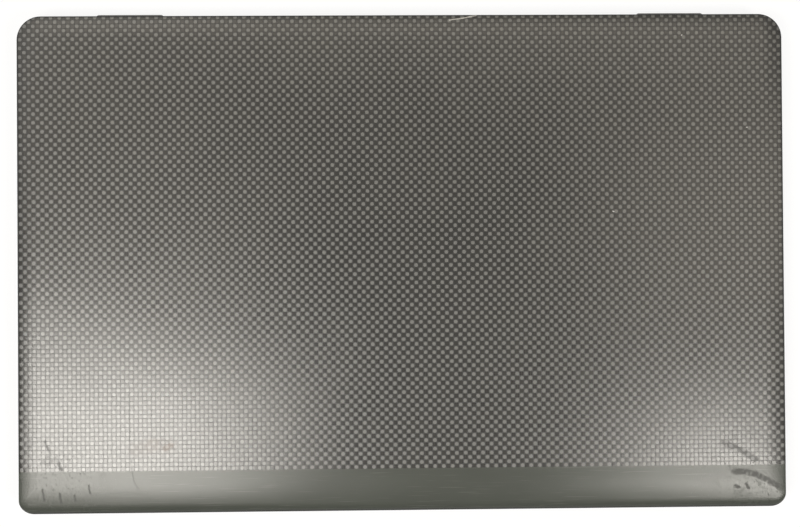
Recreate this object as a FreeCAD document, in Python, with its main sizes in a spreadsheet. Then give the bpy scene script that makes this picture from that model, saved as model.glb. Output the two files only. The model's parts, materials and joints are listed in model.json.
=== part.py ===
"""A closed 14-inch laptop computer with a woven-fibre lid, as a parametric assembly.

Millimetres. +X is the user's right, +Y runs from the front edge back to the hinges and +Z is up.
The origin lies on the surface that the feet stand on, under the middle of the outline.
"""

import FreeCAD
import Part
import math
import os
import re
import Sketcher
from FreeCAD import Placement, Rotation, Vector

# Driving dimensions: the name of each cell, its size and what it measures
DIMENSIONS = [
    # Lid shell
    ("lid_width", 321.4, "lid, side to side"),
    ("lid_depth", 208.0, "lid, front edge to rear edge"),
    ("lid_thickness", 5.2, "lid, bezel face to top"),
    ("lid_skin", 1.1, "thickness of the lid's top skin"),
    ("lid_wall", 1.6, "lid wall at the sides and rear"),
    ("lid_front_wall", 2.4, "lid wall behind the rolled front edge"),
    ("lid_rim", 1.1, "rim of the lid round the bezel"),
    ("lid_gap", 0.4, "gap between the deck and the closed lid"),
    ("edge_fall", 0.45, "how far the skin falls towards the lid's edges"),
    ("edge_reach", 4.0, "width of that fall"),
    ("edge_radius", 0.8, "radius along the lid's edges"),
    ("front_roll", 4.2, "radius of the lid's rolled front edge"),
    ("rear_corner", 10.0, "corner radius at the hinges, in plan"),
    ("front_corner", 6.0, "corner radius at the front, in plan"),
    ("strip_depth", 18.0, "plain antenna strip along the front of the lid"),
    # Base shells
    ("base_inset", 0.3, "how far the base stands inside the lid's outline"),
    ("base_height", 10.6, "underside of the base to the deck"),
    ("tray_height", 3.4, "height of the bottom cover"),
    ("tray_floor", 1.2, "floor of the bottom cover"),
    ("tray_bevel", 2.9, "bevel round the bottom cover, in plan"),
    ("tray_bevel_height", 3.0, "height of that bevel"),
    ("tray_wall", 3.6, "inset of the bottom cover's cavity"),
    ("base_wall", 1.5, "side wall of the palm rest"),
    ("deck_skin", 1.3, "thickness of the deck"),
    ("deck_edge", 0.6, "bevel along the deck's edge"),
    ("rear_overhang", 4.2, "how far the lid reaches behind the base"),
    ("scoop_width", 76.0, "finger scoop at the front edge"),
    ("scoop_depth", 1.6, "depth of the finger scoop"),
    # Feet and screw posts
    ("foot_height", 1.4, "feet below the bottom cover"),
    ("foot_sink", 0.3, "feet let into the bottom cover"),
    ("foot_width", 8.0, "width of a foot strip"),
    ("front_foot_length", 200.0, "front foot strip"),
    ("rear_foot_length", 250.0, "rear foot strip"),
    ("front_foot_y", -86.0, "middle of the front foot strip"),
    ("rear_foot_y", 80.0, "middle of the rear foot strip"),
    ("post_half", 2.5, "half the width of a screw post"),
    ("post_side_x", 152.0, "posts beside the keyboard"),
    ("post_front_x", 148.0, "posts in the front corners"),
    ("post_pad_x", 76.0, "posts beside the touchpad"),
    ("post_rear_y", 89.0, "rear posts"),
    ("post_middle_y", -8.0, "middle posts"),
    ("post_front_y", -97.4, "front posts"),
    # Hinges
    ("cap_overhang", 1.6, "hinge caps behind the lid's rear edge"),
    ("cap_radius", 4.6, "outside radius of a hinge cap"),
    ("cap_wall", 0.8, "wall of a hinge cap"),
    ("cap_start", 100.4, "inner end of a hinge cap from the middle"),
    ("cap_length", 28.0, "length of a hinge cap"),
    ("hinge_drop", 2.4, "hinge axis below the closed lid"),
    ("hinge_room", 0.35, "running room round a hinge cap"),
    ("pin_radius", 2.0, "hinge pin"),
    ("pin_room", 0.05, "running room round a hinge pin"),
    ("knuckle_radius", 3.3, "knuckle that the pin turns in"),
    ("knuckle_length", 17.0, "length of the knuckle"),
    ("hinge_plate", 1.2, "thickness of the hinge's steel"),
    ("lug_radius", 3.4, "round end of the lid arm"),
    ("lug_width", 1.8, "lid arm at the pin"),
    ("arm_reach", 20.0, "lid arm's plate past the lug"),
    ("arm_depth", 10.0, "lid arm's plate, front to rear"),
    ("bracket_depth", 12.4, "base bracket in front of the axis"),
    # Display
    ("screen_width", 309.4, "lit area, side to side"),
    ("screen_height", 174.0, "lit area, top to bottom"),
    ("screen_border", 10.0, "lid's front edge to the lit area"),
    ("screen_reveal", 0.4, "bezel opening round the lit area"),
    ("bezel_thickness", 1.0, "bezel frame"),
    ("bezel_room", 0.1, "room between the bezel and the lid's rim"),
    ("glass_thickness", 0.5, "screen sheet"),
    ("panel_width", 315.8, "display panel, side to side"),
    ("panel_border", 3.2, "display panel past the top of the lit area"),
    ("panel_chin", 8.8, "display panel past the bottom of the lit area"),
    ("panel_chin_thickness", 1.2, "driver board along the panel's chin"),
    ("bumper_length", 9.0, "rubber bumper on the bezel"),
    ("bumper_width", 2.6, "rubber bumper on the bezel"),
    ("bumper_gap", 0.05, "bumper above the deck"),
    ("bumper_x", 148.0, "bumpers from the middle"),
    ("ribbon_width", 6.0, "display cable"),
    ("ribbon_thickness", 0.2, "display cable"),
    ("ribbon_x", 30.0, "where the display cable joins the panel"),
    # Camera
    ("camera_setback", 4.5, "camera behind the lid's front edge"),
    ("camera_radius", 1.5, "camera window"),
    ("camera_barrel", 1.9, "camera barrel"),
    ("camera_board_length", 64.0, "camera board"),
    ("camera_board_width", 3.6, "camera board"),
    ("camera_board_thickness", 0.8, "camera board"),
    ("shutter_thickness", 0.3, "camera shutter"),
    ("shutter_travel", 5.0, "camera shutter's slide"),
    ("shutter_knob_x", 10.0, "finger knob of the shutter"),
    ("shutter_knob", 1.1, "half length of that knob"),
    ("antenna_near", 50.0, "antenna boards, inner end"),
    ("antenna_length", 60.0, "antenna boards"),
    # Keyboard
    ("key_pitch", 19.0, "key to key along a row"),
    ("key_row_pitch", 18.6, "row to row"),
    ("function_pitch", 12.6, "depth of the function row"),
    ("key_gap", 2.8, "gap between keys"),
    ("half_key_gap", 1.8, "gap between half-height keys"),
    ("key_room", 0.4, "room round a key in the lattice"),
    ("key_height", 1.9, "height of a key cap"),
    ("deck_corner", 0.9, "corners of the deck's openings"),
    ("key_lean", 14.0, "lean of a key cap's sides, degrees"),
    ("key_drop", 0.1, "key caps below the deck"),
    ("keyboard_rear", 84.0, "rear edge of the keys"),
    ("well_drop", 0.8, "lattice below the deck"),
    ("well_margin", 1.2, "deck's opening round the keys"),
    ("well_room", 0.3, "room between the lattice and the deck"),
    ("flange_reach", 2.2, "lattice flange under the deck"),
    ("lattice_depth", 1.1, "lattice flange"),
    ("plate_drop", 1.6, "keyboard plate's dish below the lattice"),
    ("plate_skin", 0.5, "keyboard plate"),
    ("plate_rim", 2.0, "keyboard plate's rim"),
    # Touchpad and buttons
    ("pad_width", 104.0, "touchpad"),
    ("pad_rear", -28.5, "touchpad's rear edge"),
    ("pad_depth", 55.0, "touchpad, front to rear"),
    ("pad_button_depth", 12.0, "touchpad buttons, front to rear"),
    ("pad_gap", 0.5, "gap round the touchpad and its buttons"),
    ("pad_drop", 0.2, "touchpad below the deck"),
    ("pad_flange", 3.0, "touchpad tray's rim under the deck"),
    ("pad_tray", 1.0, "touchpad tray's floor"),
    ("pad_tray_drop", 1.2, "depth of the touchpad tray"),
    ("pad_button_height", 1.5, "height of a touchpad button"),
    ("power_x", 141.0, "power button, middle"),
    ("power_y", 91.0, "power button, middle"),
    ("power_length", 14.0, "power button"),
    ("power_width", 6.0, "power button"),
    ("power_height", 1.6, "power button"),
    ("power_gap", 0.3, "gap round the power button"),
    # Boards and modules
    ("board_side", 146.2, "main board's edge from the middle"),
    ("board_front", -26.0, "main board's front edge"),
    ("board_rear", 84.0, "main board's rear edge"),
    ("board_thickness", 1.0, "main board"),
    ("cpu_x", -40.0, "processor, middle"),
    ("cpu_y", 45.0, "processor, middle"),
    ("cpu_length", 46.0, "processor package"),
    ("cpu_width", 24.0, "processor package"),
    ("cpu_thickness", 1.2, "processor package"),
    ("cold_plate_length", 52.0, "cold plate"),
    ("cold_plate_width", 40.0, "cold plate"),
    ("cold_plate_thickness", 1.0, "cold plate"),
    ("pipe_width", 8.0, "flat heat pipe"),
    ("pipe_thickness", 1.6, "flat heat pipe"),
    ("pipe_bend", 12.0, "bend of the heat pipe"),
    ("pipe_x", 13.0, "heat pipe beside the fan"),
    ("memory_x", -110.0, "memory module, middle"),
    ("memory_y", 8.0, "memory module, middle"),
    ("memory_length", 69.6, "memory module"),
    ("memory_width", 30.0, "memory module"),
    ("ssd_x", 60.0, "solid-state drive, middle"),
    ("ssd_y", -10.0, "solid-state drive, middle"),
    ("ssd_length", 80.0, "solid-state drive"),
    ("card_width", 22.0, "drive and wireless card"),
    ("card_board", 0.8, "drive and wireless card's board"),
    ("chip_height", 1.3, "chips on the cards"),
    ("wireless_x", 124.0, "wireless card, middle"),
    ("wireless_length", 30.0, "wireless card"),
    # Cooling
    ("fan_x", 52.0, "fan, middle"),
    ("fan_y", 56.5, "fan, middle"),
    ("fan_side", 58.0, "fan housing"),
    ("fan_skin", 0.6, "fan housing's plates"),
    ("fan_bore", 26.5, "fan housing's bore"),
    ("fan_inlet", 18.0, "fan housing's inlet"),
    ("fan_hub", 10.0, "fan impeller's hub"),
    ("fan_tip", 25.6, "fan impeller's blade tips"),
    ("fan_axle", 1.5, "fan axle"),
    ("fan_room", 0.5, "room above and below the impeller"),
    ("blade_thickness", 0.7, "fan blade"),
    ("blade_count", 11.0, "fan blades"),
    ("fin_length", 52.0, "fin stack, side to side"),
    ("fin_front", 87.4, "fin stack's front"),
    ("fin_depth", 9.8, "fin stack, front to rear"),
    ("fin_pitch", 4.0, "fin to fin"),
    ("fin_thickness", 0.4, "one fin"),
    ("fin_height", 3.2, "fin stack"),
    ("vent_width", 2.4, "rear vent slot"),
    ("vent_height", 4.2, "rear vent slot"),
    ("vent_pitch", 4.0, "rear vent slots"),
    ("inlet_slot_length", 14.0, "intake slot in the bottom cover"),
    ("inlet_slot_width", 2.0, "intake slot in the bottom cover"),
    ("inlet_pitch_x", 17.0, "intake slots, side to side"),
    ("inlet_pitch_y", 4.5, "intake slots, front to rear"),
    # Battery and speakers
    ("battery_length", 244.0, "battery pack"),
    ("battery_front", -93.6, "battery pack's front edge"),
    ("battery_depth", 62.0, "battery pack"),
    ("battery_height", 4.6, "battery pack's frame"),
    ("cell_rise", 0.9, "battery cells above the frame"),
    ("cell_gap", 4.0, "gap between battery cells"),
    ("speaker_near", 126.0, "speakers, inner end"),
    ("speaker_far", 156.0, "speakers, outer end"),
    ("speaker_front", -92.0, "speakers' front edge"),
    ("speaker_depth", 34.0, "speakers"),
    ("speaker_height", 4.4, "speakers"),
    ("cone_width", 18.0, "speaker's mouth"),
    # Ports
    ("port_sink", 0.2, "ports behind the side wall's face"),
    ("port_room", 0.15, "room round a port in the side wall"),
    ("port_z", 7.9, "middle of the ports above the feet"),
    ("port_shell", 0.3, "sheet metal of a port"),
    ("port_lip", 1.0, "tongue behind the mouth of a port"),
    ("usb_a_width", 13.2, "large USB port, outside"),
    ("usb_a_height", 5.4, "large USB port, outside"),
    ("usb_a_left_y", 24.0, "large USB port on the left"),
    ("usb_a_right_y", 58.0, "large USB port on the right"),
    ("usb_c_width", 8.9, "small USB port, outside"),
    ("usb_c_height", 3.2, "small USB port, outside"),
    ("usb_c_first_y", 76.0, "rear small USB port"),
    ("usb_c_second_y", 62.0, "front small USB port"),
    ("video_width", 15.0, "video port, outside"),
    ("video_height", 5.4, "video port, outside"),
    ("video_step", 2.6, "slanted lower corners of the video port"),
    ("video_y", 44.0, "video port"),
    ("jack_y", 38.0, "headphone jack"),
    ("jack_bore", 1.8, "headphone jack's bore"),
    ("jack_nose", 2.6, "headphone jack's nose"),
    ("jack_body", 6.4, "headphone jack's body"),
    ("jack_depth", 12.0, "headphone jack's bore"),
    ("tray_y", 10.0, "card tray, middle"),
    ("tray_width", 12.0, "card tray"),
    ("tray_thickness", 1.2, "card tray"),
    ("tray_face_height", 2.0, "card tray's face"),
    ("tray_room", 0.2, "room round the card tray"),
    ("socket_skin", 0.4, "card tray's socket"),
    ("lock_y", 78.0, "lock slot, middle"),
    ("lock_length", 7.0, "lock slot"),
    ("lock_height", 3.0, "lock slot"),
    ("lock_plate_length", 12.0, "plate behind the lock slot"),
    ("lock_plate_depth", 3.0, "plate behind the lock slot"),
]
NAMES = {name for name, _, _ in DIMENSIONS}

# Levels and edges that many pieces share, as expressions on the driving dimensions
FRONT = "(-(lid_depth + cap_overhang) / 2)"
LID_REAR = f"({FRONT} + lid_depth)"
LID_SIDE = "(lid_width / 2)"
BASE_SIDE = "(lid_width / 2 - base_inset)"
BASE_FRONT = f"({FRONT} + base_inset)"
BASE_REAR = f"({LID_REAR} - rear_overhang)"
FLOOR = "(foot_height + tray_floor)"
SEAM = "(foot_height + tray_height)"
DECK = "(foot_height + base_height)"
CEILING = f"({DECK} - deck_skin)"
LID_BOTTOM = f"({DECK} + lid_gap)"
LID_TOP = f"({LID_BOTTOM} + lid_thickness)"
SKIN = f"({LID_TOP} - lid_skin)"
BEZEL_BACK = f"({LID_BOTTOM} + bezel_thickness)"
AXIS_Y = f"({LID_REAR} + cap_overhang - cap_radius)"
AXIS_Z = f"({LID_BOTTOM} - hinge_drop)"
CAP_END = "(cap_start + cap_length)"
LUG_NEAR = f"({CAP_END} + hinge_room)"
LUG_FAR = f"({LUG_NEAR} + lug_width)"
ARM_FRONT = f"({AXIS_Y} - 1 - arm_depth)"
SCREEN_FRONT = f"({FRONT} + screen_border)"
SCREEN_REAR = f"({SCREEN_FRONT} + screen_height)"
PANEL_REAR = f"({SCREEN_REAR} + panel_chin)"
CAMERA_Y = f"({FRONT} + camera_setback)"
KEY_TOP = f"({DECK} - key_drop)"
KEY_LEFT = "(-7.5 * key_pitch)"
KEYS_FRONT = "(keyboard_rear - function_pitch - 5 * key_row_pitch)"
WELL_TOP = f"({DECK} - well_drop)"
LATTICE_BOTTOM = f"({CEILING} - lattice_depth)"
PLATE_BOTTOM = f"({LATTICE_BOTTOM} - plate_drop)"
BOARD_BOTTOM = f"({PLATE_BOTTOM} - board_thickness)"
CPU_BOTTOM = f"({BOARD_BOTTOM} - cpu_thickness)"
PIPE_TOP = f"({CPU_BOTTOM} - cold_plate_thickness)"
PIPE_BOTTOM = f"({PIPE_TOP} - pipe_thickness)"
PAD_FRONT = "(pad_rear - pad_depth)"
PAD_TOP = f"({DECK} - pad_drop)"
BUTTON_FRONT = f"({PAD_FRONT} - pad_gap - pad_button_depth)"
WALL_INSIDE = f"({BASE_SIDE} - base_wall)"
PORT_FACE = f"({BASE_SIDE} - port_sink)"

# Key widths along each row, in key pitches; the bottom row ends in a cluster of half-height keys
KEY_ROWS = [
    ("keys_function_row", [15 / 16] * 16),
    ("keys_number_row", [1] * 13 + [2]),
    ("keys_upper_row", [1.5] + [1] * 12 + [1.5]),
    ("keys_home_row", [1.75] + [1] * 11 + [2.25]),
    ("keys_lower_row", [2.25] + [1] * 10 + [2.75]),
    ("keys_bottom_row", [1.25, 1, 1, 1, 5, 1, 0.75, 1]),
]
ARROW_COLUMNS = 3
ENTER = ("keys_home_row", 12)
SPACE = ("keys_bottom_row", 4)

# Posts that the bottom cover is screwed to
POSTS = [
    ("post_side_x", "post_rear_y"),
    ("-post_side_x", "post_rear_y"),
    ("post_side_x", "post_middle_y"),
    ("-post_side_x", "post_middle_y"),
    ("post_front_x", "post_front_y"),
    ("-post_front_x", "post_front_y"),
    ("post_pad_x", "post_front_y"),
    ("-post_pad_x", "post_front_y"),
    ("-post_side_x / 4", "post_rear_y + post_half"),
]

doc = FreeCAD.newDocument("laptop")
sheet = doc.addObject("Spreadsheet::Sheet", "Dims")
nodes = {}


def fill_sheet():
    """Writes each driving dimension to its cell, with its meaning beside it."""
    for row, (name, size, meaning) in enumerate(DIMENSIONS, 1):
        sheet.set(f"A{row}", meaning)
        sheet.set(f"B{row}", str(size))
        sheet.setAlias(f"B{row}", name)
    doc.recompute()


def bound(text):
    """An expression in which every dimension's name points at its cell."""
    return re.sub(r"[a-z_]\w*", lambda m: f"Dims.{m[0]}" if m[0] in NAMES else m[0], str(text))


def value(text):
    """What an expression comes to, in millimetres."""
    return float(sheet.evalExpression(bound(text)))


def node(name, item):
    """Names a finished sub-part, which is then written to its own file."""
    item.Label = name
    nodes[name] = item
    return item


# Solids from primitives and booleans


def place(item, x, y, z):
    """Ties an object's position to the sheet."""
    for axis, text in zip("xyz", (x, y, z)):
        item.setExpression(f"Placement.Base.{axis}", bound(text))
    return item


def box(x, y, z):
    """A block between two limits along each axis."""
    item = doc.addObject("Part::Box", "block")
    for side, (low, high) in zip(("Length", "Width", "Height"), (x, y, z)):
        item.setExpression(side, bound(f"({high}) - ({low})"))
    return place(item, x[0], y[0], z[0])


def rod(x, y, z, radius, length, along="z"):
    """A round bar that starts at a point and runs along +X or +Z."""
    item = doc.addObject("Part::Cylinder", "rod")
    if along == "x":
        item.Placement = Placement(Vector(), Rotation(Vector(0, 1, 0), 90))
    item.setExpression("Radius", bound(radius))
    item.setExpression("Height", bound(length))
    return place(item, x, y, z)


def fuse(*items):
    """Several solids joined into one."""
    item = doc.addObject("Part::MultiFuse", "joined")
    item.Shapes = list(items)
    item.Refine = True
    return item


def group(*items):
    """Several separate solids kept together."""
    item = doc.addObject("Part::Compound", "set")
    item.Links = list(items)
    return item


def cut(base, *tools):
    """A solid with others taken out of it."""
    item = doc.addObject("Part::Cut", "cut")
    item.Base = base
    item.Tool = tools[0] if len(tools) == 1 else fuse(*tools)
    return item


def common(base, tool):
    """What two solids share."""
    item = doc.addObject("Part::Common", "shared")
    item.Base = base
    item.Tool = tool
    return item


def mirrored(source):
    """The same piece on the other side of the middle."""
    item = doc.addObject("Part::Mirroring", "mirrored")
    item.Source = source
    item.Normal = Vector(1, 0, 0)
    item.Base = Vector(0, 0, 0)
    return item


def middle(centre, length):
    """The two limits of a length about its centre."""
    return f"({centre}) - ({length}) / 2", f"({centre}) + ({length}) / 2"


# Bodies made from sketches


def new_body():
    """An empty body with its own origin planes."""
    return doc.addObject("PartDesign::Body", "body")


def origin(body, role):
    """One of a body's origin planes or axes."""
    return next(feature for feature in body.Origin.OriginFeatures if feature.Role == role)


def new_sketch(body, offset, plane="XY_Plane"):
    """A sketch on one of a body's origin planes, moved along that plane's normal."""
    sketch = body.newObject("Sketcher::SketchObject", "sketch")
    sketch.AttachmentSupport = [(origin(body, plane), "")]
    sketch.MapMode = "FlatFace"
    sketch.setExpression("AttachmentOffset.Base.z", bound(offset))
    return sketch


def tie(sketch, kind, text, *where):
    """Adds a driving constraint whose size comes from the sheet."""
    index = sketch.addConstraint(Sketcher.Constraint(kind, *where, value(text)))
    sketch.setExpression(f"Constraints[{index}]", bound(text))


def tie_point(sketch, geometry, point, x, y):
    """Ties a point of a sketch to its distances from the origin."""
    tie(sketch, "DistanceX", x, -1, 1, geometry, point)
    tie(sketch, "DistanceY", y, -1, 1, geometry, point)


def draw_rectangle(sketch, x, y, front_radius, rear_radius=None):
    """A rectangle with rounded corners, drawn anticlockwise from its front edge."""
    (left, right), (front, rear) = x, y
    rear_radius = rear_radius or front_radius
    low, high = Vector(value(left), value(front)), Vector(value(right), value(rear))
    r, q = value(front_radius), value(rear_radius)
    lines = [
        (Vector(low.x + r, low.y), Vector(high.x - r, low.y)),
        (Vector(high.x, low.y + r), Vector(high.x, high.y - q)),
        (Vector(high.x - q, high.y), Vector(low.x + q, high.y)),
        (Vector(low.x, high.y - q), Vector(low.x, low.y + r)),
    ]
    corners = [
        (Vector(high.x - r, low.y + r), r),
        (Vector(high.x - q, high.y - q), q),
        (Vector(low.x + q, high.y - q), q),
        (Vector(low.x + r, low.y + r), r),
    ]
    edges = [sketch.addGeometry(Part.LineSegment(*line)) for line in lines]
    arcs = []
    for quarter, (centre, radius) in enumerate(corners, -1):
        circle = Part.Circle(centre, Vector(0, 0, 1), radius)
        start = quarter * math.pi / 2
        arcs.append(sketch.addGeometry(Part.ArcOfCircle(circle, start, start + math.pi / 2)))
    for edge, arc, following in zip(edges, arcs, edges[1:] + edges[:1]):
        sketch.addConstraint(Sketcher.Constraint("Tangent", edge, 2, arc, 1))
        sketch.addConstraint(Sketcher.Constraint("Tangent", arc, 2, following, 1))
    for edge, direction in zip(edges, ("Horizontal", "Vertical") * 2):
        sketch.addConstraint(Sketcher.Constraint(direction, edge))
    for arc, radius in zip(arcs, (front_radius, rear_radius, rear_radius, front_radius)):
        tie(sketch, "Radius", radius, arc)
    tie(sketch, "DistanceY", front, -1, 1, edges[0], 1)
    tie(sketch, "DistanceX", right, -1, 1, edges[1], 1)
    tie(sketch, "DistanceY", rear, -1, 1, edges[2], 1)
    tie(sketch, "DistanceX", left, -1, 1, edges[3], 1)


def draw_polygon(sketch, points):
    """A closed outline of straight lines, with every corner tied to the sheet."""
    corners = [Vector(value(x), value(y)) for x, y in points]
    lines = [
        sketch.addGeometry(Part.LineSegment(start, end))
        for start, end in zip(corners, corners[1:] + corners[:1])
    ]
    for line, following in zip(lines, lines[1:] + lines[:1]):
        sketch.addConstraint(Sketcher.Constraint("Coincident", line, 2, following, 1))
    for line, (x, y) in zip(lines, points):
        tie_point(sketch, line, 1, x, y)


def draw_box(sketch, x, y):
    """A plain rectangle between two limits along each axis."""
    (left, right), (front, rear) = x, y
    draw_polygon(sketch, [(left, front), (right, front), (right, rear), (left, rear)])


def draw_strip(sketch, x, length, y, width):
    """A strip's outline along X, with bevelled ends."""
    half, side, bevel = f"(({length}) / 2)", f"(({width}) / 2)", f"(({width}) / 3)"
    corners = [
        (f"{half} - {bevel}", f"{y} - {side}"),
        (half, f"{y} - {side} + {bevel}"),
        (half, f"{y} + {side} - {bevel}"),
        (f"{half} - {bevel}", f"{y} + {side}"),
    ]
    right = [(f"{x} + {along}", across) for along, across in corners]
    left = [(f"{x} - ({along})", across) for along, across in reversed(corners)]
    draw_polygon(sketch, right + left)


def draw_circle(sketch, x, y, radius):
    """A circle with its centre and radius tied to the sheet."""
    circle = Part.Circle(Vector(value(x), value(y)), Vector(0, 0, 1), value(radius))
    index = sketch.addGeometry(circle)
    tie_point(sketch, index, 3, x, y)
    tie(sketch, "Radius", radius, index)


def extrude(body, kind, sketch, length, upwards=True):
    """Pads a sketch, or pockets it, up or down from its plane."""
    feature = body.newObject(f"PartDesign::{kind}", kind.lower())
    feature.Profile = sketch
    feature.Reversed = upwards == (kind == "Pocket")
    feature.setExpression("Length", bound(length))
    sketch.Visibility = False
    doc.recompute()
    return feature


def pad(body, sketch, length, upwards=True):
    """Adds a sketch's outline as a solid."""
    return extrude(body, "Pad", sketch, length, upwards)


def pocket(body, sketch, length, upwards=True):
    """Takes a sketch's outline out of the body, and checks that it did."""
    before = body.Shape.Volume
    feature = extrude(body, "Pocket", sketch, length, upwards)
    if body.Shape.Volume >= before:
        raise RuntimeError(f"{feature.Name} cut nothing")
    return feature


def repeat(body, feature, axis, length, count, axis_2=None, length_2="0", count_2="1"):
    """Repeats a feature along one or two of the body's axes."""
    pattern = body.newObject("PartDesign::LinearPattern", "row")
    pattern.Originals = [feature]
    pattern.Direction = (origin(body, axis), [""])
    pattern.setExpression("Length", bound(length))
    pattern.setExpression("Occurrences", bound(count))
    if axis_2:
        pattern.Direction2 = (origin(body, axis_2), [""])
        pattern.setExpression("Length2", bound(length_2))
        pattern.setExpression("Occurrences2", bound(count_2))
    body.Tip = pattern
    doc.recompute()
    return pattern


def edges_at(shape, low, high):
    """Names of the edges whose whole length lies between two heights."""
    return [
        f"Edge{index}"
        for index, edge in enumerate(shape.Edges, 1)
        if edge.BoundBox.ZMin >= low and edge.BoundBox.ZMax <= high
    ]


def dress(body, kind, edges, **sizes):
    """Rounds or bevels edges of a body's last feature."""
    feature = body.newObject(f"PartDesign::{kind}", kind.lower())
    feature.Base = (body.Tip if body.Tip is not feature else feature.BaseFeature, edges)
    for name, text in sizes.items():
        feature.setExpression(name, bound(text))
    doc.recompute()
    return feature


# Lid


def hinge_sweep(radius, near, far):
    """The round space about the hinge axis on both sides, between two distances from the middle."""
    right = rod(near, AXIS_Y, AXIS_Z, radius, f"({far}) - ({near})", "x")
    return fuse(right, mirrored(right))


def build_lid_shell():
    """Woven skin and the plain antenna strip, split from one tray with a rolled front edge."""
    body = new_body()
    outline = new_sketch(body, LID_BOTTOM)
    side = (f"-{LID_SIDE}", LID_SIDE)
    draw_rectangle(outline, side, (FRONT, LID_REAR), "front_corner", "rear_corner")
    pad(body, outline, "lid_thickness")
    top = value(LID_TOP)
    slope = dress(body, "Chamfer", edges_at(body.Shape, top - 0.01, top + 0.01), Size="edge_fall")
    slope.ChamferType = "Two distances"
    slope.setExpression("Size2", bound("edge_reach"))
    doc.recompute()
    fallen = top - value("edge_fall")
    if not edges_at(body.Shape, fallen - 0.01, fallen + 0.01):
        slope.FlipDirection = True
        doc.recompute()
    dress(body, "Fillet", edges_at(body.Shape, fallen - 0.01, fallen + 0.01), Radius="edge_radius")

    roll = new_sketch(body, f"-{LID_SIDE} - 1", "YZ_Plane")
    draw_roll(roll)
    pocket(body, roll, "lid_width + 2")

    recess = new_sketch(body, LID_BOTTOM)
    inset = (f"-{LID_SIDE} + lid_rim", f"{LID_SIDE} - lid_rim")
    span = (f"{FRONT} + lid_rim", f"{LID_REAR} - lid_rim")
    draw_rectangle(recess, inset, span, "front_corner - lid_rim", "rear_corner - lid_rim")
    pocket(body, recess, "bezel_thickness")

    cavity = new_sketch(body, BEZEL_BACK)
    inset = (f"-{LID_SIDE} + lid_wall", f"{LID_SIDE} - lid_wall")
    span = (f"{FRONT} + lid_front_wall", f"{LID_REAR} - lid_wall")
    draw_rectangle(cavity, inset, span, "front_corner - lid_front_wall", "rear_corner - lid_wall")
    pocket(body, cavity, "lid_thickness - bezel_thickness - lid_skin")

    room = hinge_sweep("cap_radius + hinge_room", "cap_start - hinge_room", f"{LUG_FAR} + hinge_room")
    whole = cut(body, room)
    edge = f"{FRONT} + strip_depth"
    strip = box((f"-{LID_SIDE} - 1", f"{LID_SIDE} + 1"), (f"{FRONT} - 1", edge), (DECK, f"{LID_TOP} + 1"))
    node("lid_cover", cut(whole, strip))
    node("lid_antenna_strip", common(whole, strip))


def draw_roll(sketch):
    """What the rolled front edge takes off the lid, in the plane across the edge."""
    centre = Vector(value(f"{FRONT} + front_roll"), value(f"{LID_TOP} - front_roll"))
    circle = Part.Circle(centre, Vector(0, 0, 1), value("front_roll"))
    arc = sketch.addGeometry(Part.ArcOfCircle(circle, math.pi / 2, math.pi))
    tie(sketch, "Radius", "front_roll", arc)
    tie_point(sketch, arc, 3, f"{FRONT} + front_roll", f"{LID_TOP} - front_roll")
    corners = [
        (FRONT, f"{LID_TOP} - front_roll"),
        (f"{FRONT} - 1", f"{LID_TOP} - front_roll"),
        (f"{FRONT} - 1", f"{LID_TOP} + 1"),
        (f"{FRONT} + front_roll", f"{LID_TOP} + 1"),
        (f"{FRONT} + front_roll", LID_TOP),
    ]
    points = [Vector(value(x), value(y)) for x, y in corners]
    lines = [
        sketch.addGeometry(Part.LineSegment(start, end)) for start, end in zip(points, points[1:])
    ]
    for line, following in zip(lines, lines[1:]):
        sketch.addConstraint(Sketcher.Constraint("Coincident", line, 2, following, 1))
    sketch.addConstraint(Sketcher.Constraint("Coincident", arc, 2, lines[0], 1))
    sketch.addConstraint(Sketcher.Constraint("Coincident", arc, 1, lines[-1], 2))
    sketch.addConstraint(Sketcher.Constraint("Horizontal", lines[0]))
    sketch.addConstraint(Sketcher.Constraint("Vertical", lines[-1]))
    for line, (x, y) in zip(lines[1:-1], corners[1:]):
        tie_point(sketch, line, 1, x, y)
    tie(sketch, "DistanceY", corners[3][1], -1, 1, lines[-1], 1)


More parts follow.
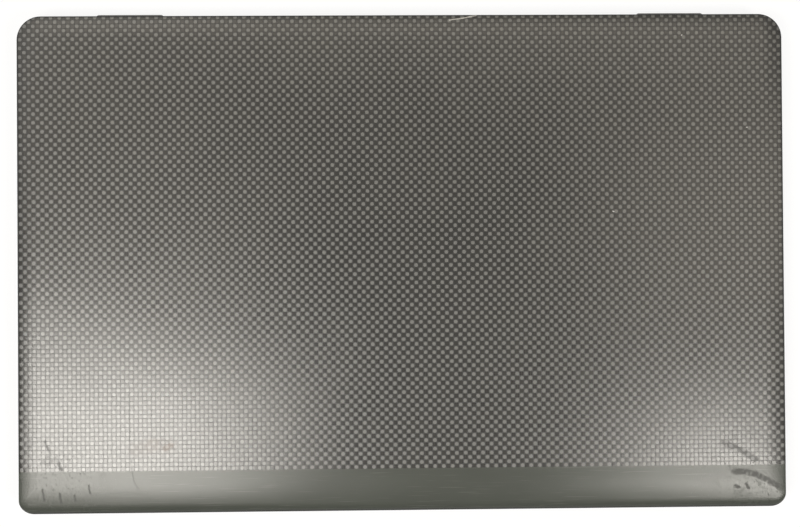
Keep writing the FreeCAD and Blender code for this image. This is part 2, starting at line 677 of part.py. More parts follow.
def build_display():
    """Bezel frame, screen sheet, display panel, rubber bumpers and the flat display cable."""
    body = new_body()
    frame = new_sketch(body, LID_BOTTOM)
    inset = "(lid_rim + bezel_room)"
    side = (f"-{LID_SIDE} + {inset}", f"{LID_SIDE} - {inset}")
    span = (f"{FRONT} + {inset}", f"{LID_REAR} - {inset}")
    draw_rectangle(frame, side, span, f"front_corner - {inset}", f"rear_corner - {inset}")
    pad(body, frame, "bezel_thickness")
    window = new_sketch(body, LID_BOTTOM)
    half = "(screen_width / 2 + screen_reveal)"
    span = (f"{SCREEN_FRONT} - screen_reveal", f"{SCREEN_REAR} + screen_reveal")
    draw_rectangle(window, (f"-{half}", half), span, "2 * screen_reveal")
    pocket(body, window, "bezel_thickness")
    room = hinge_sweep("cap_radius + hinge_room", "cap_start - hinge_room", f"{LUG_FAR} + hinge_room")
    hole = rod("0", CAMERA_Y, LID_BOTTOM, "camera_radius", "bezel_thickness")
    run = (
        "shutter_knob_x - shutter_knob - shutter_travel - tray_room",
        "shutter_knob_x + shutter_knob + tray_room",
    )
    slot = box(run, middle(CAMERA_Y, "shutter_knob + 2 * tray_room"), (LID_BOTTOM, BEZEL_BACK))
    node("display_bezel", cut(body, room, hole, slot))

    width = middle("0", "panel_width")
    top = f"{SCREEN_FRONT} - panel_border"
    glass = f"{BEZEL_BACK} + glass_thickness"
    span = (f"{top} + 1", f"{SCREEN_REAR} + 1")
    node("lcd_screen", box(middle("0", "panel_width - panel_border"), span, (BEZEL_BACK, glass)))
    panel = box(width, (top, f"{SCREEN_REAR} + 1"), (glass, SKIN))
    chin = box(width, (SCREEN_REAR, PANEL_REAR), (f"{SKIN} - panel_chin_thickness", SKIN))
    node("lcd_module", fuse(panel, chin))

    low, high = f"{DECK} + bumper_gap", LID_BOTTOM
    front = f"{FRONT} + screen_border / 2"
    rear = f"{LID_REAR} - screen_border"
    bumpers = [
        box(middle(x, "bumper_length"), middle(y, "bumper_width"), (low, high))
        for x in ("-bumper_x", "bumper_x")
        for y in (front, rear)
    ]
    node("bezel_bumpers", group(*bumpers))

    ribbon_top = f"{SKIN} - panel_chin_thickness"
    height = (f"{ribbon_top} - ribbon_thickness", ribbon_top)
    run = (f"{PANEL_REAR} + 1", f"{PANEL_REAR} + 1 + ribbon_width")
    tail = box(middle("ribbon_x", "ribbon_width"), (f"{PANEL_REAR} - ribbon_width", run[1]), height)
    along = box(("-cap_start + ribbon_width", "ribbon_x"), run, height)
    node("display_cable", fuse(tail, along))


def build_camera():
    """Camera board with its barrel and window, the sliding shutter and the antenna boards."""
    width = middle(CAMERA_Y, "camera_board_width")
    low = f"{BEZEL_BACK} + 2 * shutter_thickness + tray_room"
    high = f"{low} + camera_board_thickness"
    board = box(middle("0", "camera_board_length"), width, (low, high))
    barrel = rod("0", CAMERA_Y, low, "camera_barrel", f"{SKIN} - ({low})")
    ends = ("camera_board_length / 2 - camera_board_width", "camera_board_length / 2")
    post = box(ends, width, (low, SKIN))
    node("webcam_board", fuse(board, barrel, post, mirrored(post)))
    glass = rod("0", CAMERA_Y, f"{LID_BOTTOM} + lid_gap", "camera_radius", "bezel_thickness - lid_gap")
    node("webcam_lens", glass)

    plate_low = f"{BEZEL_BACK} + shutter_thickness / 2"
    plate_high = f"{plate_low} + shutter_thickness"
    run = ("-2 * camera_radius", "shutter_knob_x + 2 * camera_radius")
    plate = box(run, width, (plate_low, plate_high))
    knob = box(
        middle("shutter_knob_x", "2 * shutter_knob"),
        middle(CAMERA_Y, "shutter_knob"),
        (f"{LID_BOTTOM} + shutter_thickness / 2", plate_high),
    )
    sight = rod("0", CAMERA_Y, plate_low, "camera_radius + tray_room", "shutter_thickness")
    node("camera_shutter", cut(fuse(plate, knob), sight))

    height = (f"{SKIN} - camera_board_thickness", SKIN)
    near = box(("antenna_near", "antenna_near + antenna_length"), width, height)
    node("wireless_antennas", group(near, mirrored(near)))


# Hinges


def build_hinges():
    """Base bracket with its knuckle, pin, lid arm and cap on each side."""
    plate_low = f"{AXIS_Z} - knuckle_radius"
    plate_high = f"{plate_low} + hinge_plate"
    knuckle_x = ("cap_start + 2 * cap_wall", "cap_start + 2 * cap_wall + knuckle_length")
    knuckle = rod(knuckle_x[0], AXIS_Y, AXIS_Z, "knuckle_radius", "knuckle_length", "x")
    leaf = box(knuckle_x, (f"{AXIS_Y} - bracket_depth", AXIS_Y), (plate_low, plate_high))
    bore = rod("cap_start", AXIS_Y, AXIS_Z, "pin_radius + pin_room", "cap_length", "x")
    bracket = cut(fuse(knuckle, leaf), bore)
    node("hinge_bracket_right", bracket)
    node("hinge_bracket_left", mirrored(bracket))

    pin = rod(knuckle_x[0], AXIS_Y, AXIS_Z, "pin_radius", f"{LUG_FAR} - ({knuckle_x[0]})", "x")
    node("hinge_pin_right", pin)
    node("hinge_pin_left", mirrored(pin))

    eye = rod(LUG_NEAR, AXIS_Y, AXIS_Z, "lug_radius", "lug_width", "x")
    rise = box((LUG_NEAR, LUG_FAR), (f"{AXIS_Y} - lug_radius", f"{AXIS_Y} - 0.3"), (AXIS_Z, SKIN))
    sheet_z = (f"{SKIN} - hinge_plate", SKIN)
    leaf = box(("cap_start", f"{LUG_FAR} + arm_reach"), (ARM_FRONT, f"{ARM_FRONT} + arm_depth"), sheet_z)
    bore = rod(LUG_NEAR, AXIS_Y, AXIS_Z, "pin_radius", "lug_width", "x")
    arm = cut(fuse(eye, rise, leaf), bore)
    node("hinge_arm_right", arm)
    node("hinge_arm_left", mirrored(arm))

    cap = build_cap(knuckle_x, plate_low, plate_high)
    node("hinge_cap_right", cap)
    node("hinge_cap_left", mirrored(cap))


def build_cap(knuckle_x, plate_low, plate_high):
    """Moulded sleeve with a closed inner end, and a tab that is bonded under the deck."""
    body = new_body()
    profile = new_sketch(body, "0")
    draw_polygon(
        profile,
        [
            ("cap_start", "0"),
            ("cap_start + cap_wall", "0"),
            ("cap_start + cap_wall", "cap_radius - cap_wall"),
            (CAP_END, "cap_radius - cap_wall"),
            (CAP_END, "cap_radius"),
            ("cap_start", "cap_radius"),
        ],
    )
    sleeve = body.newObject("PartDesign::Revolution", "sleeve")
    sleeve.Profile = profile
    sleeve.ReferenceAxis = (profile, ["H_Axis"])
    sleeve.Angle = 360
    doc.recompute()
    place(body, "0", AXIS_Y, AXIS_Z)
    slot = box(
        (f"{knuckle_x[0]} - hinge_room", f"{knuckle_x[1]} + hinge_room"),
        (f"{AXIS_Y} - cap_radius - 1", AXIS_Y),
        (f"{plate_low} - hinge_room", f"{plate_high} + hinge_room"),
    )
    tab = box(
        (f"{knuckle_x[1]} + 1", CAP_END),
        (f"{AXIS_Y} - bracket_depth", f"{AXIS_Y} - cap_radius + cap_wall / 2"),
        (f"{CEILING} - hinge_plate", CEILING),
    )
    return cut(fuse(body, tab), slot)


# Base shells


def base_outline(body, offset, inset):
    """The base's rounded outline, drawn in from its edge by an inset."""
    sketch = new_sketch(body, offset)
    side = (f"-{BASE_SIDE} + ({inset})", f"{BASE_SIDE} - ({inset})")
    span = (f"{BASE_FRONT} + ({inset})", f"{BASE_REAR} - ({inset})")
    draw_rectangle(sketch, side, span, f"front_corner - ({inset})", f"rear_corner - ({inset})")
    return sketch


def build_palmrest():
    """Palm rest: deck and side walls in one shell, with its openings, vents and screw posts."""
    body = new_body()
    pad(body, base_outline(body, SEAM, "0"), f"{DECK} - {SEAM}")
    deck = value(DECK)
    dress(body, "Chamfer", edges_at(body.Shape, deck - 0.01, deck + 0.01), Size="deck_edge")
    pocket(body, base_outline(body, SEAM, "base_wall"), f"{CEILING} - {SEAM}")

    for x, y in (
        (
            middle("0", "15 * key_pitch + 2 * well_margin"),
            (f"{KEYS_FRONT} - well_margin", "keyboard_rear + well_margin"),
        ),
        (middle("0", "pad_width + 2 * pad_gap"), (f"{BUTTON_FRONT} - pad_gap", "pad_rear + pad_gap")),
    ):
        opening = new_sketch(body, DECK)
        draw_rectangle(opening, x, y, "deck_corner")
        pocket(body, opening, "deck_skin", upwards=False)
    opening = new_sketch(body, DECK)
    draw_strip(opening, "power_x", "power_length + 2 * power_gap", "power_y", "power_width + 2 * power_gap")
    pocket(body, opening, "deck_skin", upwards=False)

    vent = new_sketch(body, f"-{BASE_REAR}", "XZ_Plane")
    first = "fan_x - fin_length / 2"
    sill = f"{SEAM} + base_wall / 2"
    draw_box(vent, (first, f"{first} + vent_width"), (sill, f"{sill} + vent_height"))
    slot = pocket(body, vent, "base_wall")
    repeat(body, slot, "X_Axis", "12 * vent_pitch", "13")

    scoop = new_sketch(body, "-scoop_width / 2", "YZ_Plane")
    draw_polygon(
        scoop,
        [
            (f"{BASE_FRONT} - 1", f"{DECK} - scoop_depth - 1"),
            (f"{BASE_FRONT} + 2 * scoop_depth", f"{DECK} + 1"),
            (f"{BASE_FRONT} - 1", f"{DECK} + 1"),
        ],
    )
    pocket(body, scoop, "scoop_width")

    well = ("cap_start - hinge_room", f"{LUG_FAR} + hinge_room")
    reach = "(cap_radius + hinge_room)"
    notch = box(well, (f"{AXIS_Y} - {reach}", LID_REAR), (f"{AXIS_Z} - {reach}", LID_TOP))
    shell = cut(body, notch, mirrored(notch), *port_mouths())
    posts = [
        box(middle(x, "2 * post_half"), middle(y, "2 * post_half"), (FLOOR, CEILING)) for x, y in POSTS
    ]
    stand = box(
        ("cap_start + 2 * cap_wall", "cap_start + 2 * cap_wall + knuckle_length"),
        (f"{AXIS_Y} - bracket_depth", f"{AXIS_Y} - bracket_depth + 2 * post_half"),
        (f"{AXIS_Z} - knuckle_radius + hinge_plate", CEILING),
    )
    node("palmrest", fuse(shell, *posts, stand, mirrored(stand)))


def build_bottom_cover():
    """Bottom cover with bevelled sides, intake and speaker slots, and foot recesses."""
    body = new_body()
    pad(body, base_outline(body, SEAM, "0"), "tray_height", upwards=False)
    low = value("foot_height")
    bevel = dress(body, "Chamfer", edges_at(body.Shape, low - 0.01, low + 0.01), Size="tray_bevel")
    bevel.ChamferType = "Two distances"
    bevel.setExpression("Size2", bound("tray_bevel_height"))
    doc.recompute()
    rise = low + value("tray_bevel_height")
    if not edges_at(body.Shape, rise - 0.01, rise + 0.01):
        bevel.FlipDirection = True
        doc.recompute()
    pocket(body, base_outline(body, SEAM, "tray_wall"), "tray_height - tray_floor", upwards=False)

    intake = new_sketch(body, "foot_height")
    first_x, first_y = "(fan_x - inlet_pitch_x)", "(fan_y - 4 * inlet_pitch_y)"
    draw_box(intake, middle(first_x, "inlet_slot_length"), middle(first_y, "inlet_slot_width"))
    slot = pocket(body, intake, "tray_floor")
    repeat(body, slot, "X_Axis", "2 * inlet_pitch_x", "3", "Y_Axis", "7 * inlet_pitch_y", "8")

    for first_x in ("-speaker_far + inlet_pitch_y", "speaker_near + inlet_pitch_y"):
        grille = new_sketch(body, "foot_height")
        x = (first_x, f"{first_x} + inlet_slot_width")
        draw_box(grille, x, middle("speaker_front + speaker_depth / 2", "inlet_slot_length"))
        slot = pocket(body, grille, "tray_floor")
        repeat(body, slot, "X_Axis", "4 * inlet_pitch_y", "5")

    for length, y in (("front_foot_length", "front_foot_y"), ("rear_foot_length", "rear_foot_y")):
        seat = new_sketch(body, "foot_height")
        draw_strip(seat, "0", length, y, "foot_width")
        pocket(body, seat, "foot_sink")

    node("bottom_cover", body)

    for name, length, y in (
        ("front_foot", "front_foot_length", "front_foot_y"),
        ("rear_foot", "rear_foot_length", "rear_foot_y"),
    ):
        foot = new_body()
        outline = new_sketch(foot, "0")
        draw_strip(outline, "0", length, y, "foot_width")
        pad(foot, outline, "foot_height + foot_sink")
        node(name, foot)


# Keyboard, touchpad and buttons


def key_cells():
    """Each key's row, place in the row, left and right edges, and front and rear edges, with its gap."""
    rear = "keyboard_rear"
    for row, (name, widths) in enumerate(KEY_ROWS):
        front = f"{rear} - {'key_row_pitch' if row else 'function_pitch'}"
        edge = 0
        for column, width in enumerate(widths):
            x = (f"{KEY_LEFT} + {edge} * key_pitch", f"{KEY_LEFT} + {edge + width} * key_pitch")
            yield name, column, x, (f"{front} + key_gap / 2", f"{rear} - key_gap / 2")
            edge += width
        rear = f"({front})"
    half = "((key_row_pitch - key_gap - half_key_gap) / 2)"
    front = f"({rear} + key_gap / 2)"
    for column in range(ARROW_COLUMNS):
        x = (f"{KEY_LEFT} + {edge} * key_pitch", f"{KEY_LEFT} + {edge + 1} * key_pitch")
        upper = f"({front} + {half} + half_key_gap)"
        yield name, len(widths) + 2 * column, x, (front, f"{front} + {half}")
        yield name, len(widths) + 2 * column + 1, x, (upper, f"{upper} + {half}")
        edge += 1


def key_cap(width, depth):
    """One key cap with leaning sides, standing at the origin."""
    item = doc.addObject("Part::Wedge", "cap")
    lean = "(key_height * tan(key_lean * 1deg))"
    for along, length in (("X", width), ("Z", depth)):
        for end, sign in (("min", "-"), ("max", "")):
            item.setExpression(f"{along}{end}", bound(f"{sign}({length}) / 2"))
            item.setExpression(f"{along}2{end}", bound(f"{sign}(({length}) / 2 - {lean})"))
    item.Ymin = 0
    item.setExpression("Ymax", bound("key_height"))
    item.Placement = Placement(Vector(), Rotation(Vector(1, 0, 0), 90))
    item.Visibility = False
    return item


def build_keyboard():
    """Key caps by row, the lattice that they rise through and the dished plate behind them."""
    masters, rows, windows = {}, {}, []
    for name, column, x, y in key_cells():
        width, depth = f"({x[1]}) - ({x[0]}) - key_gap", f"({y[1]}) - ({y[0]})"
        size = round(value(width), 3), round(value(depth), 3)
        if size not in masters:
            masters[size] = key_cap(width, depth)
        cap = doc.addObject("App::Link", "key")
        cap.LinkedObject = masters[size]
        cap.Placement = masters[size].Placement
        place(cap, f"(({x[0]}) + ({x[1]})) / 2", f"(({y[0]}) + ({y[1]})) / 2", f"{KEY_TOP} - key_height")
        label = {ENTER: "key_enter", SPACE: "key_space"}.get((name, column), name)
        rows.setdefault(label, []).append(cap)
        spread = "(key_gap / 2 - key_room)"
        windows.append(
            box(
                (f"{x[0]} + {spread}", f"{x[1]} - {spread}"),
                (f"{y[0]} - key_room", f"{y[1]} + key_room"),
                (LATTICE_BOTTOM, WELL_TOP),
            )
        )
    for label, caps in rows.items():
        node(label, group(*caps))

    half = "(7.5 * key_pitch + well_margin)"
    reach = f"({half} + flange_reach)"
    front, rear = f"({KEYS_FRONT} - well_margin)", "(keyboard_rear + well_margin)"
    flange_y = (f"{front} - flange_reach", f"{rear} + flange_reach")
    raised = box(
        (f"-{half} + well_room", f"{half} - well_room"),
        (f"{front} + well_room", f"{rear} - well_room"),
        (LATTICE_BOTTOM, WELL_TOP),
    )
    flange = box((f"-{reach}", reach), flange_y, (LATTICE_BOTTOM, CEILING))
    node("keyboard_lattice", cut(fuse(raised, flange), group(*windows)))

    dish = box((f"-{reach}", reach), flange_y, (PLATE_BOTTOM, LATTICE_BOTTOM))
    inside = box(
        (f"-{reach} + plate_rim", f"{reach} - plate_rim"),
        (f"{flange_y[0]} + plate_rim", f"{flange_y[1]} - plate_rim"),
        (f"{PLATE_BOTTOM} + plate_skin", LATTICE_BOTTOM),
    )
    node("keyboard_plate", cut(dish, inside))


def build_touchpad():
    """Touchpad in its tray under the deck, its two buttons and the power button."""
    floor = f"({CEILING} - pad_tray_drop)"
    body = new_body()
    surface = new_sketch(body, floor)
    draw_rectangle(surface, middle("0", "pad_width"), (PAD_FRONT, "pad_rear"), "deck_corner")
    pad(body, surface, f"{PAD_TOP} - {floor}")
    tray = box(
        middle("0", "pad_width + 2 * pad_flange"),
        (f"{BUTTON_FRONT} - pad_flange", "pad_rear + pad_flange"),
        (f"{floor} - pad_tray", CEILING),
    )
    inside = box(
        middle("0", "pad_width + 2 * pad_gap"),
        (f"{BUTTON_FRONT} - pad_gap", "pad_rear + pad_gap"),
        (floor, CEILING),
    )
    node("touchpad", fuse(body, cut(tray, inside)))

    for name, sign in (("touchpad_button_left", "-"), ("touchpad_button_right", "")):
        ends = f"{sign}pad_gap / 2", f"{sign}pad_width / 2"
        x = ends[::-1] if sign else ends
        button = new_body()
        outline = new_sketch(button, f"{PAD_TOP} - pad_button_height")
        draw_box(outline, x, (BUTTON_FRONT, f"{BUTTON_FRONT} + pad_button_depth"))
        pad(button, outline, "pad_button_height")
        node(name, button)

    button = new_body()
    outline = new_sketch(button, f"{PAD_TOP} - power_height")
    draw_strip(outline, "power_x", "power_length", "power_y", "power_width")
    pad(button, outline, "power_height")
    node("power_button", button)


# Boards, cooling, battery and speakers


def build_boards():
    """Main board and what hangs under it: processor, memory, drive and wireless card."""
    body = new_body()
    outline = new_sketch(body, BOARD_BOTTOM)
    gap = "(fan_side / 2 + 1)"
    draw_polygon(
        outline,
        [
            ("-board_side", "board_front"),
            ("board_side", "board_front"),
            ("board_side", "board_rear"),
            (f"fan_x + {gap}", "board_rear"),
            (f"fan_x + {gap}", f"fan_y - {gap}"),
            (f"fan_x - {gap}", f"fan_y - {gap}"),
            (f"fan_x - {gap}", "board_rear"),
            ("-board_side", "board_rear"),
        ],
    )
    pad(body, outline, "board_thickness")
    node("system_board", body)

    cpu_x, cpu_y = middle("cpu_x", "cpu_length"), middle("cpu_y", "cpu_width")
    node("processor", box(cpu_x, cpu_y, (CPU_BOTTOM, BOARD_BOTTOM)))

    low = f"{BOARD_BOTTOM} - card_board - 2 * chip_height"
    y = middle("memory_y", "memory_width")
    x, rise = middle("memory_x", "memory_length"), f"{low} + chip_height"
    strip = box(x, y, (rise, f"{rise} + card_board"))
    socket = box(x, (y[0], "memory_y - memory_width / 3"), (low, BOARD_BOTTOM))
    chip = "memory_length / 6"
    chip_y = middle("memory_y + 2", "memory_width / 2")
    chips = [
        box(middle(f"memory_x + {side} * {chip}", chip), chip_y, (low, rise)) for side in (-2, -0.7, 0.7, 2)
    ]
    node("memory_module", fuse(strip, socket, *chips))

    for name, x, length, count in (
        ("ssd_card", "ssd_x", "ssd_length", 3),
        ("wlan_card", "wireless_x", "wireless_length", 1),
    ):
        y, start = middle("ssd_y", "card_width"), f"{x} - {length} / 2"
        top = f"({BOARD_BOTTOM} - chip_height)"
        under = f"({top} - card_board)"
        board = box(middle(x, length), y, (under, top))
        edge = box((start, f"{start} + card_width / 4"), y, (top, BOARD_BOTTOM))
        chips = [
            box(
                middle(f"{x} + {length} * {(index + 1) / (count + 1) - 0.5}", f"{length} / {count + 1.6}"),
                middle("ssd_y", "card_width * 0.7"),
                (f"{under} - chip_height", under),
            )
            for index in range(count)
        ]
        node(name, fuse(board, edge, *chips))


def build_cooling():
    """Cold plate, flat heat pipe, fin stack, fan housing and bladed impeller."""
    x, y = middle("cpu_x", "cold_plate_length"), middle("cpu_y", "cold_plate_width")
    node("cold_plate", box(x, y, (PIPE_TOP, CPU_BOTTOM)))
    node("heat_pipe", build_heat_pipe())

    fins = []
    low, high = PIPE_TOP, f"{PIPE_TOP} + fin_height"
    y = ("fin_front", "fin_front + fin_depth")
    first = "(fan_x - fin_length / 2)"
    last = "(fan_x + fin_length / 2)"
    count = int(value("fin_length / fin_pitch")) + 1
    for index in range(count):
        edge = f"{first} + {index} * fin_pitch"
        fins.append(box((edge, f"{edge} + fin_thickness"), y, (low, high)))
    base = box((first, f"{last} + fin_thickness"), y, (low, f"{low} + fin_thickness"))
    lid = box((first, f"{last} + fin_thickness"), y, (f"{high} - fin_thickness", high))
    node("heat_fins", fuse(base, lid, *fins))

    floor = f"{PLATE_BOTTOM} - 2 * fan_room - 2 * fan_skin - fin_height"
    hollow_low, hollow_high = f"({floor}) + fan_skin", f"{PLATE_BOTTOM} - fan_skin"
    case = box(middle("fan_x", "fan_side"), middle("fan_y", "fan_side"), (floor, PLATE_BOTTOM))
    bore = rod("fan_x", "fan_y", hollow_low, "fan_bore", f"{hollow_high} - ({hollow_low})")
    mouth = box(
        middle("fan_x", "fin_length"), ("fan_y", "fan_y + fan_side"), (hollow_low, hollow_high)
    )
    inlet = rod("fan_x", "fan_y", floor, "fan_inlet", "fan_skin")
    start = f"({hollow_low} + fan_room)"
    axle = rod("fan_x", "fan_y", start, "fan_axle", f"{hollow_high} - {start}")
    node("fan_housing", fuse(cut(case, bore, mouth, inlet), axle))
    node("fan_impeller", build_impeller(f"{hollow_low} + fan_room", f"{hollow_high} - fan_room"))


def build_heat_pipe():
    """A flat bar that leaves the cold plate, turns twice beside the fan and runs under the fins."""
    start_x = "(cpu_x - cold_plate_length / 2)"
    end_x = "(fan_x + fin_length / 2)"
    fin_y = "(fin_front + pipe_width / 2)"
    body = new_body()
    route = new_sketch(body, f"{PIPE_BOTTOM} + pipe_thickness / 2")
    bend, corner, low, high = (value(text) for text in ("pipe_bend", "pipe_x", "cpu_y", fin_y))
    lines = [
        (Vector(value(start_x), low), Vector(corner - bend, low)),
        (Vector(corner, low + bend), Vector(corner, high - bend)),
        (Vector(corner + bend, high), Vector(value(end_x), high)),
    ]
    first, second, third = (route.addGeometry(Part.LineSegment(*line)) for line in lines)
    circle = Part.Circle(Vector(corner - bend, low + bend), Vector(0, 0, 1), bend)
    turn_1 = route.addGeometry(Part.ArcOfCircle(circle, -math.pi / 2, 0))
    circle = Part.Circle(Vector(corner + bend, high - bend), Vector(0, 0, 1), bend)
    turn_2 = route.addGeometry(Part.ArcOfCircle(circle, math.pi / 2, math.pi))
    route.addConstraint(Sketcher.Constraint("Tangent", first, 2, turn_1, 1))
    route.addConstraint(Sketcher.Constraint("Tangent", turn_1, 2, second, 1))
    route.addConstraint(Sketcher.Constraint("Tangent", second, 2, turn_2, 2))
    route.addConstraint(Sketcher.Constraint("Tangent", turn_2, 1, third, 1))
    for line, direction in ((first, "Horizontal"), (second, "Vertical"), (third, "Horizontal")):
        route.addConstraint(Sketcher.Constraint(direction, line))
    for turn in (turn_1, turn_2):
        tie(route, "Radius", "pipe_bend", turn)
    tie_point(route, first, 1, start_x, "cpu_y")
    tie(route, "DistanceX", "pipe_x", -1, 1, second, 1)
    tie_point(route, third, 2, end_x, fin_y)

    section = new_sketch(body, start_x, "YZ_Plane")
    (front, rear), (bottom, top) = middle("cpu_y", "pipe_width"), (PIPE_BOTTOM, PIPE_TOP)
    draw_box(section, (front, rear), (bottom, top))
    pipe = body.newObject("PartDesign::AdditivePipe", "pipe")
    pipe.Profile = section
    pipe.Spine = (route, ["Edge1", "Edge2", "Edge3", "Edge4", "Edge5"])
    doc.recompute()
    return body


def build_impeller(low, high):
    """Hub with a ring of blades that lean back as they leave it."""
    body = new_body()
    hub = new_sketch(body, low)
    draw_circle(hub, "0", "0", "fan_hub")
    draw_circle(hub, "0", "0", "fan_axle + pin_room")
    pad(body, hub, f"({high}) - ({low})")
    blade = new_sketch(body, low)
    draw_polygon(
        blade,
        [
            ("fan_hub - 1", "-blade_thickness / 2"),
            ("(fan_hub + fan_tip) / 2", "-3 * blade_thickness"),
            ("fan_tip - 2", "-10 * blade_thickness"),
            ("(fan_hub + fan_tip) / 2", "-2 * blade_thickness + 0.3"),
            ("fan_hub - 1", "blade_thickness / 2"),
        ],
    )
    first = pad(body, blade, f"({high}) - ({low})")
    ring = body.newObject("PartDesign::PolarPattern", "ring")
    ring.Originals = [first]
    ring.Axis = (origin(body, "Z_Axis"), [""])
    ring.Angle = 360
    ring.setExpression("Occurrences", bound("blade_count"))
    body.Tip = ring
    doc.recompute()
    return place(body, "fan_x", "fan_y", "0")


def build_battery():
    """Battery pack with its pouch cells, and the two speakers."""
    y = ("battery_front", "battery_front + battery_depth")
    top = f"{FLOOR} + battery_height"
    frame = box(middle("0", "battery_length"), y, (FLOOR, top))
    pitch = "(battery_length / 4)"
    cells = [
        box(
            middle(f"{column} * {pitch}", f"{pitch} - cell_gap"),
            (f"{y[0]} + cell_gap", f"{y[1]} - 2 * cell_gap"),
            (top, f"{top} + cell_rise"),
        )
        for column in (-1.5, -0.5, 0.5, 1.5)
    ]
    node("battery_pack", fuse(frame, *cells))

    y = ("speaker_front", "speaker_front + speaker_depth")
    case = box(("speaker_near", "speaker_far"), y, (FLOOR, f"{FLOOR} + speaker_height"))
    centre_x, centre_y = "(speaker_near + speaker_far) / 2", "speaker_front + speaker_depth / 2"
    x, y = middle(centre_x, "cone_width"), middle(centre_y, "cone_width")
    mouth = box(x, y, (FLOOR, f"{FLOOR} + cell_rise"))
    speaker = cut(case, mouth)
    node("speakers", group(speaker, mirrored(speaker)))


# Ports


def port_block(y, width, height):
    """The outside of a port on the right-hand side, from the main board's edge to the wall's face."""
    return box(("board_side", PORT_FACE), middle(y, width), middle("port_z", height))


def port_hollow(y, width, height):
    """The space inside a port's sheet metal."""
    inside = ("board_side + 2 * port_shell", BASE_SIDE)
    return box(inside, middle(y, f"{width} - 2 * port_shell"), middle("port_z", f"{height} - 2 * port_shell"))


def port_tongue(y, width, height, raise_by="0"):
    """The contact tongue inside a port."""
    run = ("board_side + port_shell", f"{PORT_FACE} - port_lip")
    return box(run, middle(y, width), middle(f"port_z + {raise_by}", height))


def port_mouths():
    """What the ports and slots take out of the palm rest's side walls."""
    through = (f"{WALL_INSIDE} - 1", f"{BASE_SIDE} + 1")

    def mouth(y, width, height, room="2 * port_room"):
        return box(through, middle(y, f"{width} + {room}"), middle("port_z", f"{height} + {room}"))

    right = [
        mouth("usb_a_right_y", "usb_a_width", "usb_a_height"),
        rod(through[0], "jack_y", "port_z", "jack_nose + port_room", "base_wall + 2", "x"),
        mouth("tray_y", "tray_width + 2", "tray_face_height"),
        mouth("lock_y", "lock_length", "lock_height", "0"),
    ]
    left = [
        mouth("usb_a_left_y", "usb_a_width", "usb_a_height"),
        mouth("usb_c_first_y", "usb_c_width", "usb_c_height"),
        mouth("usb_c_second_y", "usb_c_width", "usb_c_height"),
        mouth("video_y", "video_width", "video_height"),
    ]
    return right + [mirrored(item) for item in left]


def build_ports():
    """Sockets along both sides, the card tray and the plate behind the lock slot."""
    large = []
    for y in ("usb_a_left_y", "usb_a_right_y"):
        size = (y, "usb_a_width", "usb_a_height")
        tongue = port_tongue(y, "usb_a_width - 3", "usb_a_height / 3", "usb_a_height / 5")
        large.append(fuse(cut(port_block(*size), port_hollow(*size)), tongue))
    node("usb_a_ports", group(mirrored(large[0]), large[1]))

    small = []
    for y in ("usb_c_first_y", "usb_c_second_y"):
        small.append(mirrored(build_small_port(y)))
    node("usb_c_ports", group(*small))

    node("video_port", mirrored(build_video_port()))

    nose = rod("board_side", "jack_y", "port_z", "jack_nose", f"{PORT_FACE} - board_side", "x")
    block = box(("board_side", WALL_INSIDE), middle("jack_y", "jack_body"), middle("port_z", "jack_body - 1"))
    bore = rod(f"{PORT_FACE} - jack_depth", "jack_y", "port_z", "jack_bore", "jack_depth", "x")
    node("audio_jack", cut(fuse(nose, block), bore))

    leaf_z = middle("port_z", "tray_thickness")
    face_z = middle("port_z", "tray_face_height")
    face = box((WALL_INSIDE, PORT_FACE), middle("tray_y", "tray_width + 2"), face_z)
    leaf = box(("board_side + 1", WALL_INSIDE), middle("tray_y", "tray_width"), leaf_z)
    card = box(("board_side + 2", f"{WALL_INSIDE} - 1.5"), middle("tray_y", "tray_width - 3"), leaf_z)
    node("sim_tray", cut(fuse(face, leaf), card))

    room = "(2 * tray_room)"
    skin = f"({room} + 2 * socket_skin)"
    run = ("board_side", f"{WALL_INSIDE} - tray_room")
    inside = ("board_side + socket_skin", WALL_INSIDE)
    sleeve = box(run, middle("tray_y", f"tray_width + {skin}"), middle("port_z", f"tray_thickness + {skin}"))
    hollow_z = middle("port_z", f"tray_thickness + {room}")
    hollow = box(inside, middle("tray_y", f"tray_width + {room}"), hollow_z)
    node("sim_socket", cut(sleeve, hollow))

    depth = (f"{WALL_INSIDE} - lock_plate_depth", WALL_INSIDE)
    plate = box(depth, middle("lock_y", "lock_plate_length"), middle("port_z", "lock_height + 2.4"))
    slot = box(depth, middle("lock_y", "lock_length"), middle("port_z", "lock_height"))
    node("lock_plate", cut(plate, slot))


def build_small_port(y):
    """A small USB port: a metal sleeve with bevelled corners and a tongue in its middle."""
    body = new_body()
    for kind, start, inset in (
        ("Pad", "board_side", "0"),
        ("Pocket", "board_side + 2 * port_shell", "port_shell"),
    ):
        sketch = new_sketch(body, start, "YZ_Plane")
        half, bevel = f"(usb_c_width / 2 - {inset})", "(usb_c_height / 3)"
        low, high = f"(port_z - usb_c_height / 2 + {inset})", f"(port_z + usb_c_height / 2 - {inset})"
        corners = [
            (f"{half} - {bevel}", low),
            (half, f"{low} + {bevel}"),
            (half, f"{high} - {bevel}"),
            (f"{half} - {bevel}", high),
        ]
        right = [(f"{y} + {x}", z) for x, z in corners]
        left = [(f"{y} - ({x})", z) for x, z in reversed(corners)]
        draw_polygon(sketch, right + left)
        extrude(body, kind, sketch, f"{PORT_FACE} - board_side")
    return fuse(body, port_tongue(y, "usb_c_width - 2.4", "usb_c_height / 4.5"))


